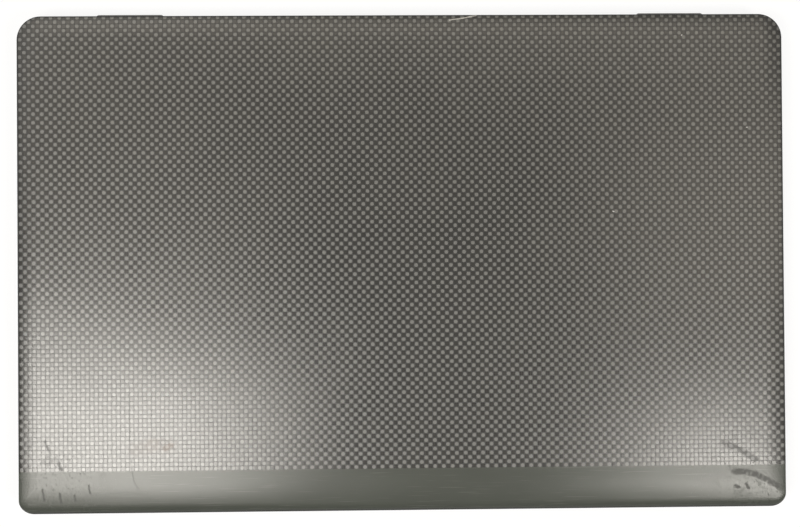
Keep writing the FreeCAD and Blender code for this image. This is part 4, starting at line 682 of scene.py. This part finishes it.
@dataclass(frozen=True)
class Outline:
    """A rectangle with round corners, larger or smaller in front."""

    left: float
    right: float
    front: float
    rear: float
    front_radius: float
    rear_radius: float
    steps: int = 6  # pieces of each corner's arc

    def ring(self, side: Point, front: Point | None = None) -> Ring:
        """Draws the outline at one height.

        Args:
            side: inset and height along the sides and the rear.
            front: inset and height along the front edge, if it differs.

        Returns:
            The points, counterclockwise from above.
        """
        inset, height = side
        front_inset, front_height = front or side
        left, right = self.left + inset, self.right - inset
        low, high = self.front + front_inset, self.rear - inset
        near = max(self.front_radius - (inset + front_inset) / 2, 0.25)
        far = max(self.rear_radius - inset, 0.25)
        corners = (
            (left + near, low + near, near, 180, (0, 1)),
            (right - near, low + near, near, 270, (1, 0)),
            (right - far, high - far, far, 0, (0, 0)),
            (left + far, high - far, far, 90, (0, 0)),
        )
        points: Ring = []
        for x, y, radius, first, (start, end) in corners:
            for step in range(self.steps + 1):
                part = step / self.steps
                angle = math.radians(first + 90 * part)
                ease = part * part * (3 - 2 * part)
                share = start + (end - start) * ease
                z = height + (front_height - height) * share
                points.append((x + radius * math.cos(angle), y + radius * math.sin(angle), z))
        return points


def arc(radius: float, first: float, last: float, steps: int) -> list[Point]:
    """Gives pairs of inset and rise along a round edge, between two angles from upright in degrees."""
    angles = (math.radians(first + (last - first) * i / steps) for i in range(steps + 1))
    return [(radius * (1 - math.cos(a)), radius * math.sin(a)) for a in angles]


def loft(rings: Sequence[Ring], mesh: BMesh | None = None) -> BMesh:
    """Skins rings of equal count and closes both ends.

    Args:
        rings: the rings in order.
        mesh: a mesh to add to, or None for a new one.

    Returns:
        The mesh, in metres.
    """
    made = mesh or bmesh.new()
    rows = [[made.verts.new(Vector(p) * MM) for p in ring] for ring in rings]
    faces = []
    for low, high in zip(rows, rows[1:]):
        for i in range(len(low)):
            j = (i + 1) % len(low)
            faces.append(made.faces.new((low[i], low[j], high[j], high[i])))
    faces += [made.faces.new(rows[0][::-1]), made.faces.new(rows[-1])]
    bmesh.ops.recalc_face_normals(made, faces=faces)
    return made


def add_object(name: str, data: bpy.types.ID) -> Object:
    """Puts data into the scene as an object."""
    obj = bpy.data.objects.new(name, data)
    bpy.context.scene.collection.objects.link(obj)
    return obj


def piece(name: str, made: BMesh, finish: Finish, sharp: float = 35.0) -> Object:
    """Turns a mesh in the making into an object.

    Args:
        name: the piece's name.
        made: the mesh, which is used up.
        finish: its finish.
        sharp: angle in degrees above which an edge stays crisp.

    Returns:
        The object, at the origin.
    """
    data = bpy.data.meshes.new(name)
    made.to_mesh(data)
    made.free()
    data.materials.append(finish.material())
    data.polygons.foreach_set("use_smooth", [True] * len(data.polygons))
    data.set_sharp_from_angle(angle=math.radians(sharp))
    log.info("%s: %d faces", name, len(data.polygons))
    return add_object(name, data)


def settle(obj: Object, body: str, slot: str, *nodes: str) -> None:
    """Hands a finished piece to the frame.

    Args:
        obj: the piece.
        body: the body that it rides on.
        slot: the record's material slot; not used.
        nodes: nodes of the frame that it stands for.
    """
    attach(obj, body)
    if nodes:
        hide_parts(*nodes)


def evaluated(obj: Object) -> bpy.types.Mesh:
    """Gives an object's mesh with its modifiers applied."""
    bpy.context.view_layer.update()
    graph = bpy.context.evaluated_depsgraph_get()
    return bpy.data.meshes.new_from_object(obj.evaluated_get(graph))


def discard(obj: Object) -> None:
    """Removes a helper object."""
    bpy.data.objects.remove(obj, do_unlink=True)


class Repeater:
    """A node tree that sets one master shape on every point of a carrier."""

    def __init__(self, name: str) -> None:
        """Builds the tree.

        Args:
            name: the tree's name.
        """
        self.tree = bpy.data.node_groups.new(name, "GeometryNodeTree")
        face = self.tree.interface
        face.new_socket("Points", in_out="INPUT", socket_type="NodeSocketGeometry")
        kinds = {"Master": "Object", "Size": "Float", "Finish": "Material"}
        self.inputs = {
            name: face.new_socket(name, in_out="INPUT", socket_type=f"NodeSocket{kind}").identifier
            for name, kind in kinds.items()
        }
        face.new_socket("Pieces", in_out="OUTPUT", socket_type="NodeSocketGeometry")
        add = self.tree.nodes.new
        source, result = add("NodeGroupInput"), add("NodeGroupOutput")
        steps = ("MeshToPoints", "ObjectInfo", "InstanceOnPoints", "RealizeInstances", "SetMaterial")
        spots, master, place, solid, dressed = (add(f"GeometryNode{step}") for step in steps)
        for start, given, end, taken in (
            (source, "Points", spots, "Mesh"),
            (source, "Master", master, "Object"),
            (spots, "Points", place, "Points"),
            (master, "Geometry", place, "Instance"),
            (source, "Size", place, "Scale"),
            (place, "Instances", solid, "Geometry"),
            (solid, "Geometry", dressed, "Geometry"),
            (source, "Finish", dressed, "Material"),
            (dressed, "Geometry", result, "Pieces"),
        ):
            self.tree.links.new(start.outputs[given], end.inputs[taken])

    def spread(self, name: str, spots: Iterable[Place], master: Object, finish: Finish) -> Object:
        """Sets the master on every spot and keeps the result as a plain mesh.

        Args:
            name: the piece's name.
            spots: where the master goes, in millimetres.
            master: the shape, made at the origin; it is used up.
            finish: the finish of the result.

        Returns:
            The object.
        """
        data = bpy.data.meshes.new(f"{name}_spots")
        data.from_pydata([Vector(s) * MM for s in spots], [], [])
        carrier = add_object(f"{name}_spots", data)
        nodes = carrier.modifiers.new("repeat", "NODES")
        nodes.node_group = self.tree
        values = {"Master": master, "Size": 1.0, "Finish": finish.material()}
        for key, value in values.items():
            nodes[self.inputs[key]] = value
        result = evaluated(carrier)
        result.name = name
        discard(carrier)
        discard(master)
        log.info("%s: %d faces", name, len(result.polygons))
        return add_object(name, result)


# Lid


HINGE_AXIS: Point = (100.2, 10.0)  # Y and Z


def hinge_ring(x: float, radius: float, count: int) -> Ring:
    """Draws a circle round the hinges' axis."""
    return [(x, HINGE_AXIS[0] + radius * c, HINGE_AXIS[1] + radius * s) for c, s in turns(count)]


@dataclass
class LidSkin:
    """The lid's shell: a woven skin with soft edges and a plain strip along its front."""

    outline: Outline = Outline(-160.7, 160.7, -104.8, 103.2, 6.0, 10.0, 14)  # the lid seen from above
    rim: float = 12.4  # height of the rim's underside
    shoulder: float = 13.45  # height of the ledge that the bezel lies against
    wall: float = 2.2  # thickness of the rim above that ledge
    lower_wall: float = 1.1  # thickness of the rim below it
    ceiling: float = 16.5  # height of the skin's inner face
    top: float = 17.6  # height of the outer face
    fall: float = 0.47  # how far the face drops towards its edges
    reach: float = 9.0  # how far in that drop begins
    edge: float = 0.8  # radius of the side and rear edges
    roll: float = 3.4  # radius of the front edge
    front_fall: float = 0.5  # how far the face drops towards the front edge
    front_reach: float = 13.0  # how far in that drop begins
    edge_turn: float = 84.0  # degrees that the side and rear edges turn through
    roll_turn: float = 84.5  # degrees that the front edge turns through
    split: float = -86.8  # where the strip ends
    notch: float = 4.95  # radius of the room round the hinge caps
    notch_ends: Point = (100.05, 130.9)  # where those rooms begin and end
    facets: int = 64  # sides of those rooms

    def profile(self) -> list[tuple[Point, Point]]:
        """Gives the wall's section as pairs for the sides and for the front."""
        inner = [(self.wall, self.ceiling), (self.wall, self.shoulder)]
        inner += [(self.lower_wall, self.shoulder), (self.lower_wall, self.rim + 0.1)]
        lip = [(1.0, self.rim), (0.3, self.rim), (0.08, self.rim + 0.08), (0.0, self.rim + 0.3)]
        section = [(p, p) for p in inner + lip]
        side = self.edge_section(self.edge, self.fall, self.reach, self.edge_turn)
        front = self.edge_section(self.roll, self.front_fall, self.front_reach, self.roll_turn)
        section += list(zip(side, front))
        inside = max(self.reach, self.front_reach) + 1.0
        section.append(((inside, self.top), (inside, self.top)))
        return section

    def edge_section(self, radius: float, fall: float, reach: float, turn: float) -> list[Point]:
        """Gives one edge's section: a round edge that eases into the flat face.

        Args:
            radius: radius of the round edge.
            fall: how far the face drops towards it.
            reach: how far in that drop begins.
            turn: how far the round edge turns, in degrees.

        Returns:
            Pairs of inset and height.
        """
        start = self.top - fall - radius * math.sin(math.radians(turn))
        section = [(inset, start + rise) for inset, rise in arc(radius, 0, turn, 7)]
        first = section[-1][0]
        for step in range(1, 9):
            inset = first + (reach - first) * step / 8
            left = (reach - inset) / (reach - first)
            section.append((inset, self.top - fall * left * left))
        return section

    def cutter(self) -> Object:
        """Makes the two round rods that clear the hinge caps."""
        made = bmesh.new()
        for sign in (-1, 1):
            loft([hinge_ring(sign * x, self.notch, self.facets) for x in self.notch_ends], made)
        return piece("notch_rods", made, SHELL)

    def half(self, name: str, shell: bpy.types.Mesh, keep_rear: bool, finish: Finish) -> Object:
        """Keeps one side of the shell and closes the cut.

        Args:
            name: the piece's name.
            shell: the whole shell.
            keep_rear: True for the part behind the split.
            finish: its finish.

        Returns:
            The piece.
        """
        made = bmesh.new()
        made.from_mesh(shell)
        cut = bmesh.ops.bisect_plane(
            made,
            geom=[*made.verts, *made.edges, *made.faces],
            dist=1e-7,
            plane_co=(0, self.split * MM, 0),
            plane_no=(0, 1, 0),
            clear_inner=keep_rear,
            clear_outer=not keep_rear,
        )
        edges = [e for e in cut["geom_cut"] if isinstance(e, bmesh.types.BMEdge)]
        bmesh.ops.contextual_create(made, geom=edges)
        bmesh.ops.recalc_face_normals(made, faces=made.faces)
        return piece(name, made, finish, 40.0)

    def build(self) -> None:
        """Makes the skin and the strip."""
        made = loft([self.outline.ring(side, front) for side, front in self.profile()])
        whole = piece("lid_whole", made, WOVEN)
        rods = self.cutter()
        trim = whole.modifiers.new("notch", "BOOLEAN")
        trim.operation, trim.solver, trim.object = "DIFFERENCE", "EXACT", rods
        shell = evaluated(whole)
        skin = self.half("lid_skin", shell, True, WOVEN)
        settle(skin, "lid", "carbon_weave", "lid_cover")
        strip = self.half("front_strip", shell, False, STRIP)
        settle(strip, "lid", "satin_strip", "lid_antenna_strip")
        discard(whole)
        discard(rods)


@dataclass
class HingeCaps:
    """Round covers of the two hinges, with softened ends."""

    radius: float = 4.6
    ends: Point = (100.4, 128.4)  # nearest and farthest X of the right-hand cap
    soft: float = 0.9  # radius of its end edges
    facets: int = 56  # sides of the cap

    def build(self) -> None:
        """Makes both caps."""
        for sign, side in ((-1, "left"), (1, "right")):
            edge = arc(self.soft, 0, 90, 5)
            run = [(self.ends[0] + self.soft - r, i) for i, r in edge[::-1]]
            run += [(self.ends[1] - self.soft + r, i) for i, r in edge]
            rings = [hinge_ring(sign * x, self.radius - inset, self.facets) for x, inset in run]
            cap = piece(f"hinge_cover_{side}", loft(rings), COVER)
            settle(cap, "base", "dark_shell", f"hinge_cap_{side}")


# Keyboard and touchpad


@dataclass(frozen=True)
class Plate:
    """A pressed plate with soft edges: a key cap, a button or a foot."""

    outline: Outline
    low: float  # height of its underside
    high: float  # height of its upper face
    lean: float = 0.0  # how far each side leans in
    soft: float = 0.3  # radius of its upper edge
    dish: float = 0.0  # how far its middle sinks

    def rings(self) -> list[Ring]:
        """Gives the plate's rings from below upwards."""
        size = min(self.outline.right - self.outline.left, self.outline.rear - self.outline.front)
        section = [(0.0, self.low)]
        section += [(self.lean + i, self.high - self.soft + r) for i, r in arc(self.soft, 0, 90, 4)]
        if self.dish:
            start = self.lean + self.soft
            reach = size / 2 - 0.5
            for step in (0.25, 0.5, 0.8):
                sunk = self.dish * math.sin(step * math.pi / 2)
                section.append((start + (reach - start) * step, self.high - sunk))
        return [self.outline.ring(p) for p in section]


class Row(Enum):
    """Rows of key caps: body, node, front edge and rear edge."""

    FUNCTION = ("function_row", "keys_function_row", 72.8, 82.6)
    NUMBER = ("number_row", "keys_number_row", 54.2, 70.0)
    UPPER = ("upper_row", "keys_upper_row", 35.6, 51.4)
    HOME = ("home_row", "keys_home_row", 17.0, 32.8)
    LOWER = ("lower_row", "keys_lower_row", -1.6, 14.2)
    BOTTOM = ("bottom_row", "keys_bottom_row", -20.2, -4.4)
    SPACE = ("space_bar", "key_space", -20.2, -4.4)
    ENTER = ("enter_key", "key_enter", 17.0, 32.8)


Key = tuple[float, float, str]


def keys(start: float, wide: float, legends: str) -> list[Key]:
    """Lists keys side by side, each with its start, its width and its legend."""
    return [(start + wide * i, wide, legend) for i, legend in enumerate(legends.split())]


KEY_ROWS: dict[Row, list[Key]] = {
    Row.FUNCTION: keys(0, 0.9375, "Esc F1 F2 F3 F4 F5 F6 F7 F8 F9 F10 F11 F12 Home End Del"),
    Row.NUMBER: keys(0, 1, "` 1 2 3 4 5 6 7 8 9 0 - =") + keys(13, 2, "Backspace"),
    Row.UPPER: keys(0, 1.5, "Tab") + keys(1.5, 1, "Q W E R T Y U I O P [ ]") + keys(13.5, 1.5, "\\"),
    Row.HOME: keys(0, 1.75, "CapsLk") + keys(1.75, 1, "A S D F G H J K L ; '"),
    Row.LOWER: keys(0, 2.25, "Shift") + keys(2.25, 1, "Z X C V B N M , . /")
    + keys(12.25, 2.75, "Shift"),
    Row.BOTTOM: keys(0, 1.25, "Fn") + keys(1.25, 1, "Ctrl Opt Alt") + keys(9.25, 1, "Alt")
    + keys(10.25, 0.75, "Sys") + keys(11, 1, "Ctrl"),
    Row.SPACE: [(4.25, 5, "")],
    Row.ENTER: keys(12.75, 2.25, "Enter"),
}
ARROWS = ((12, 0, "PgUp"), (12, 1, "<"), (13, 0, "^"), (13, 1, "v"), (14, 0, "PgDn"), (14, 1, ">"))
FONT_BODY = 1.35  # size of a font against its capital letters
WORD_SIZE = 0.66  # print size of words against single letters
FULL_SIZE = 9.0  # caps of this depth or more take print of full size


@dataclass
class Keyboard:
    """Key caps with dished tops and printed legends, one piece for each row that moves."""

    left: float = -142.5  # X of the first key's cell
    unit: float = 19.0  # width of a key's cell
    inset: float = 1.4  # room round each cap in its cell
    low: float = 10.0  # height of a cap's underside
    high: float = 11.9  # height of a cap's rim
    lean: float = 0.42  # how far each side leans in
    front_corner: float = 2.4  # radius of the front corners of a full-height cap
    rear_corner: float = 1.4
    soft: float = 0.32  # radius of a cap's upper edge
    dish: float = 0.14  # how far a cap's middle sinks
    print_height: float = 3.2  # height of capital letters
    print_inset: Point = (2.4, 1.9)  # how far in from a cap's left and rear edges a legend starts
    half_depth: float = 7.0  # depth of the half-height keys

    def cap(self, made: BMesh, left: float, right: float, front: float, rear: float) -> None:
        """Adds one key cap to a row's mesh."""
        corner = min(self.front_corner, (rear - front) * 0.28)
        outline = Outline(left, right, front, rear, corner, self.rear_corner, 5)
        plate = Plate(outline, self.low, self.high, self.lean, self.soft, self.dish)
        loft(plate.rings(), made)

    def legend(self, made: BMesh, text: str, left: float, rear: float, scale: float) -> None:
        """Prints a legend near a cap's rear left corner.

        Args:
            made: the row's print.
            text: what it says.
            left: X where it starts.
            rear: Y of its upper edge.
            scale: size against the usual print.
        """
        curve = bpy.data.curves.new("print", "FONT")
        curve.body, curve.align_y = text, "TOP"
        curve.size = self.print_height * scale * FONT_BODY * MM
        curve.resolution_u, curve.extrude = 3, 0.01 * MM
        helper = add_object("print", curve)
        data = evaluated(helper)
        data.transform(Matrix.Translation(Vector((left, rear, self.high - 0.02)) * MM))
        made.from_mesh(data)
        discard(helper)

    def layout(self, row: Row) -> list[tuple[float, float, float, float, str]]:
        """Lists a row's caps as left, right, front, rear and legend."""
        front, rear = row.value[2:]
        listed = []
        for at, wide, text in KEY_ROWS[row]:
            left = self.left + at * self.unit + self.inset
            right = self.left + (at + wide) * self.unit - self.inset
            listed.append((left, right, front, rear, text))
        if row is Row.BOTTOM:
            for at, below, text in ARROWS:
                left = self.left + at * self.unit + self.inset
                low = front if below else rear - self.half_depth
                right = left + self.unit - 2 * self.inset
                listed.append((left, right, low, low + self.half_depth, text))
        return listed

    def build(self) -> None:
        """Makes every row's caps and print."""
        for row in Row:
            body, node = row.value[:2]
            caps, print_mesh = bmesh.new(), bmesh.new()
            for left, right, front, rear, text in self.layout(row):
                self.cap(caps, left, right, front, rear)
                if text:
                    scale = min(1.0 if len(text) == 1 else WORD_SIZE, (rear - front) / FULL_SIZE)
                    across, down = self.print_inset
                    self.legend(print_mesh, text, left + across, rear - down, scale)
            settle(piece(f"{body}_caps", caps, CAP), body, "keycap", node)
            if print_mesh.verts:
                settle(piece(f"{body}_print", print_mesh, LEGEND), body, "keycap")
            else:
                print_mesh.free()


@dataclass
class Buttons:
    """The touchpad's two buttons and the power button."""

    reach: float = 52.0  # half of the touchpad's width
    split: float = 0.25  # half of the gap between the buttons
    front: float = -96.0  # front edge of the touchpad buttons
    rear: float = -84.0
    corners: Point = (1.6, 0.6)  # radius of their front and of their rear corners
    low: float = 10.3  # height of their undersides
    high: float = 11.8  # height of the upper faces
    # left, right, front and rear of the power button
    power: tuple[float, float, float, float] = (134.0, 148.0, 88.0, 94.0)
    power_low: float = 10.2  # height of its underside
    power_corner: float = 2.6  # radius of its corners
    ring: Point = (1.05, 1.35)  # inner and outer radius of the ring printed on it
    ring_start: float = 130.0  # angle at which the ring begins
    ring_turn: float = 280.0  # angle that it turns through
    stroke: Point = (0.3, 1.6)  # where the stroke in the ring's gap begins and ends

    def build(self) -> None:
        """Makes the three buttons and the ring printed on the power button."""
        sides = (("left", -self.reach, -self.split), ("right", self.split, self.reach))
        for side, left, right in sides:
            outline = Outline(left, right, self.front, self.rear, *self.corners, steps=5)
            plate = Plate(outline, self.low, self.high, soft=0.35, dish=0.12)
            button = piece(f"touch_button_{side}", loft(plate.rings()), CAP)
            settle(button, f"{side}_button", "keycap", f"touchpad_button_{side}")
        outline = Outline(*self.power, self.power_corner, self.power_corner, steps=1)
        plate = Plate(outline, self.power_low, self.high, soft=0.3, dish=0.1)
        settle(piece("power_cap", loft(plate.rings()), CAP), "power_key", "keycap", "power_button")
        settle(piece("power_print", self.power_ring(), LEGEND), "power_key", "keycap")

    def power_ring(self) -> BMesh:
        """Draws the open ring and stroke of a power symbol as flat raised print."""
        made = bmesh.new()
        x, y = (self.power[0] + self.power[1]) / 2, (self.power[2] + self.power[3]) / 2
        low, high = self.high - 0.12, self.high - 0.03
        inner, outer = self.ring
        section = ((inner, low), (outer, low), (outer, high), (inner, high))
        steps = 28
        angles = (math.radians(self.ring_start + self.ring_turn * i / steps) for i in range(steps + 1))
        loft([[(x + r * math.cos(a), y + r * math.sin(a), z) for r, z in section] for a in angles], made)
        half, (near, far) = (outer - inner) / 2, self.stroke
        stroke = Outline(x - half, x + half, y + near, y + far, 0.12, 0.12, steps=2)
        loft([stroke.ring((0, low)), stroke.ring((0, high))], made)
        return made


# Underside


@dataclass
class Underside:
    """Feet and bottom screws."""

    repeater: Repeater  # sets what repeats
    # node, half width, front and rear of each foot
    feet: tuple[tuple[str, float, float, float], ...] = (
        ("front_foot", 100.0, -90.0, -82.0),
        ("rear_foot", 125.0, 76.0, 84.0),
    )
    ground: float = 0.35  # height of a foot's moulded face, with its ribs below
    seat: float = 1.7  # height of a foot's upper face
    rib_pitch: float = 2.5  # distance from rib to rib
    rib_margin: float = 5.0  # plain length at each end of a foot
    rib_inset: float = 1.2  # room between a rib's ends and the foot's edges
    rib_half: float = 0.45  # half of a rib's width
    rib_height: float = 0.5  # height of a rib, whose top lies in the foot
    foot_corner: float = 3.6  # radius of a foot's corners
    screws: tuple[Point, ...] = (
        (-152, 89), (152, 89), (-152, -8), (152, -8), (-148, -97.4),
        (148, -97.4), (-76, -97.4), (76, -97.4), (-38, 91.5),
    )
    # rings of a screw's head: radius along the cross and between its arms, and height
    head: tuple[Place, ...] = (
        (2.5, 2.5, 0.3), (2.5, 2.5, -0.05), (2.3, 2.3, -0.22), (1.9, 1.9, -0.28),
        (1.35, 0.55, -0.28), (1.2, 0.45, 0.1), (0.5, 0.3, 0.2),
    )
    face: float = 1.4  # height of the bottom cover's face

    def turned(self, rings: list[Ring], level: float) -> list[Ring]:
        """Turns rings upside down about a height."""
        return [[(x, y, 2 * level - z) for x, y, z in ring] for ring in rings]

    def screw(self) -> Object:
        """Makes one screw head with a cross recess, facing down."""
        count, arm = 32, 8
        rings = []
        for long, short, z in self.head:
            radii = (long if i % arm in (0, 1, arm - 1) else short for i in range(count))
            rings.append([(r * c, r * s, z) for r, (c, s) in zip(radii, turns(count))])
        return piece("screw_master", loft(rings), SCREW_STEEL)

    def build(self) -> None:
        """Makes the feet with their ribs, and the screws."""
        for node, half, front, rear in self.feet:
            outline = Outline(-half, half, front, rear, self.foot_corner, self.foot_corner, steps=10)
            plate = Plate(outline, self.ground, self.seat, soft=0.6)
            made = loft(self.turned(plate.rings(), (self.ground + self.seat) / 2))
            settle(piece(f"{node}_pad", made, RUBBER), "base", "rubber", node)
            long = (rear - front) / 2 - self.rib_inset
            outline = Outline(-self.rib_half, self.rib_half, -long, long, 0.4, 0.4, steps=3)
            rib = Plate(outline, 0.0, self.rib_height, soft=0.2)
            made = loft(self.turned(rib.rings(), self.rib_height / 2))
            master = piece("rib_master", made, RUBBER)
            count = int((2 * half - 2 * self.rib_margin) / self.rib_pitch)
            first = -half + self.rib_margin + self.rib_pitch / 2
            spots = [(first + self.rib_pitch * i, (front + rear) / 2, 0.0) for i in range(count)]
            settle(self.repeater.spread(f"{node}_ribs", spots, master, RUBBER), "base", "rubber")
        spots = [(x, y, self.face) for x, y in self.screws]
        screws = self.repeater.spread("bottom_screws", spots, self.screw(), SCREW_STEEL)
        settle(screws, "base", "hinge_steel")


# Nodes that keep their shape


@dataclass
class CarriedNodes:
    """Nodes of the frame that keep their shape and get a finish."""

    record: dict
    # nodes whose finish differs from their slot's
    special: dict[str, Finish] = field(default_factory=dict)

    def dress(self) -> None:
        """Gives each node the finish of its slot."""
        for part in self.record["subparts"]:
            node = part["node"]
            finish = self.special.get(node, SLOT_FINISHES[part["material_slot"]])
            for slot in frame["nodes"][node].material_slots:
                slot.material = finish.material()
            log.info("%s: %s", node, finish.name)


# Studio


@dataclass(frozen=True)
class SoftLamp:
    """A rectangular soft lamp."""

    name: str
    place: Place  # where it hangs, in metres
    aim: Place  # the point that it faces
    size: Point  # its width and height
    power: float  # its power in watts
    spin: float = 0.0  # how far it is turned about its own axis, in degrees
    colour: Colour = (1.0, 0.965, 0.90)

    def hang(self) -> None:
        """Adds the lamp."""
        data = bpy.data.lights.new(self.name, "AREA")
        data.shape, data.size, data.size_y = "RECTANGLE", *self.size
        data.energy, data.color = self.power, self.colour
        lamp = add_object(self.name, data)
        lamp.location = self.place
        lamp.rotation_mode = "QUATERNION"
        facing = (Vector(self.aim) - Vector(self.place)).to_track_quat("-Z", "Y")
        lamp.rotation_quaternion = facing @ Quaternion((0, 0, 1), math.radians(self.spin))


WARM: Colour = (1.0, 0.90, 0.76)


@dataclass
class Studio:
    """White table, soft lamps and the camera above the lid."""

    eye: Place = (-0.01398, -0.00708, 0.6)  # the camera's place in metres
    turn: Place = (0.5914, -1.2482, -0.4299)  # its turns about X, Y and Z in degrees
    lens: float = 62.628  # its focal length
    sensor: float = 36.0  # width of its sensor
    sky: float = 0.25  # strength of the even light all round
    table: float = 6.0  # half of the table's width in metres
    lamps: tuple[SoftLamp, ...] = (
        SoftLamp("window_lamp", (-0.322, -0.208, 0.949), (-0.11, -0.08, 0.0), (0.37, 0.235), 6.7, 44.0),
        SoftLamp("corner_lamp", (0.438, -0.31, 0.949), (0.146, -0.09, 0.0), (0.16, 0.32), 4.8),
        SoftLamp("far_lamp", (0.022, 0.36, 0.949), (0.0, 0.095, 0.0), (0.95, 0.22), 1.7, 0.0, WARM),
        SoftLamp("right_lamp", (0.50, 0.063, 0.949), (0.155, 0.02, 0.0), (0.24, 0.5), 0.9, 0.0, WARM),
        SoftLamp("left_lamp", (-0.34, 0.10, 0.949), (-0.15, 0.03, 0.0), (0.25, 0.45), 0.35, 0.0, WARM),
        SoftLamp("room_lamp", (-0.75, 0.75, 1.3), (0.0, 0.0, 0.0), (1.0, 1.0), 4.0),
    )

    def build(self) -> None:
        """Adds the table, the lamps, the even light and the camera."""
        made = bmesh.new()
        bmesh.ops.create_grid(made, x_segments=1, y_segments=1, size=self.table)
        floor = piece("table_top", made, StudioFloor())
        for lamp in self.lamps:
            lamp.hang()
        self.light_room()
        data = bpy.data.cameras.new("overhead_camera")
        data.lens, data.sensor_width = self.lens, self.sensor
        data.clip_start, data.clip_end = 0.01, 50.0
        camera = add_object("overhead_camera", data)
        camera.location = self.eye
        camera.rotation_euler = [math.radians(a) for a in self.turn]
        bpy.context.scene.camera = camera
        bpy.context.scene.view_settings.view_transform = "Standard"

    def light_room(self) -> None:
        """Sets the even light, which the camera and reflections see as plain white."""
        world = bpy.data.worlds.new("white_room")
        world.use_nodes = True
        tree = world.node_tree
        tree.nodes.clear()
        kinds = ("LightPath", "Math", "Math", "Background", "Background", "MixShader", "OutputWorld")
        path, shown, either, even, white, both, result = (
            tree.nodes.new(f"ShaderNode{kind}") for kind in kinds
        )
        shown.operation = either.operation = "MAXIMUM"
        even.inputs["Strength"].default_value = self.sky
        white.inputs["Strength"].default_value = 1.0
        for shade in (even, white):
            shade.inputs["Color"].default_value = (1.0, 1.0, 1.0, 1.0)
        for given, taken in (
            (path.outputs["Is Glossy Ray"], either.inputs[0]),
            (path.outputs["Is Transmission Ray"], either.inputs[1]),
            (path.outputs["Is Camera Ray"], shown.inputs[0]),
            (either.outputs[0], shown.inputs[1]),
            (shown.outputs[0], both.inputs[0]),
            (even.outputs[0], both.inputs[1]),
            (white.outputs[0], both.inputs[2]),
            (both.outputs[0], result.inputs["Surface"]),
        ):
            tree.links.new(given, taken)
        bpy.context.scene.world = world


def main() -> None:
    """Builds every piece around the frame."""
    logging.basicConfig(level=logging.INFO, format="%(message)s")
    CarriedNodes(frame["record"], SPECIAL_FINISHES).dress()
    LidSkin().build()
    HingeCaps().build()
    Keyboard().build()
    Buttons().build()
    Underside(Repeater("set_on_points")).build()
    Studio().build()


if __name__ == "__main__":
    main()
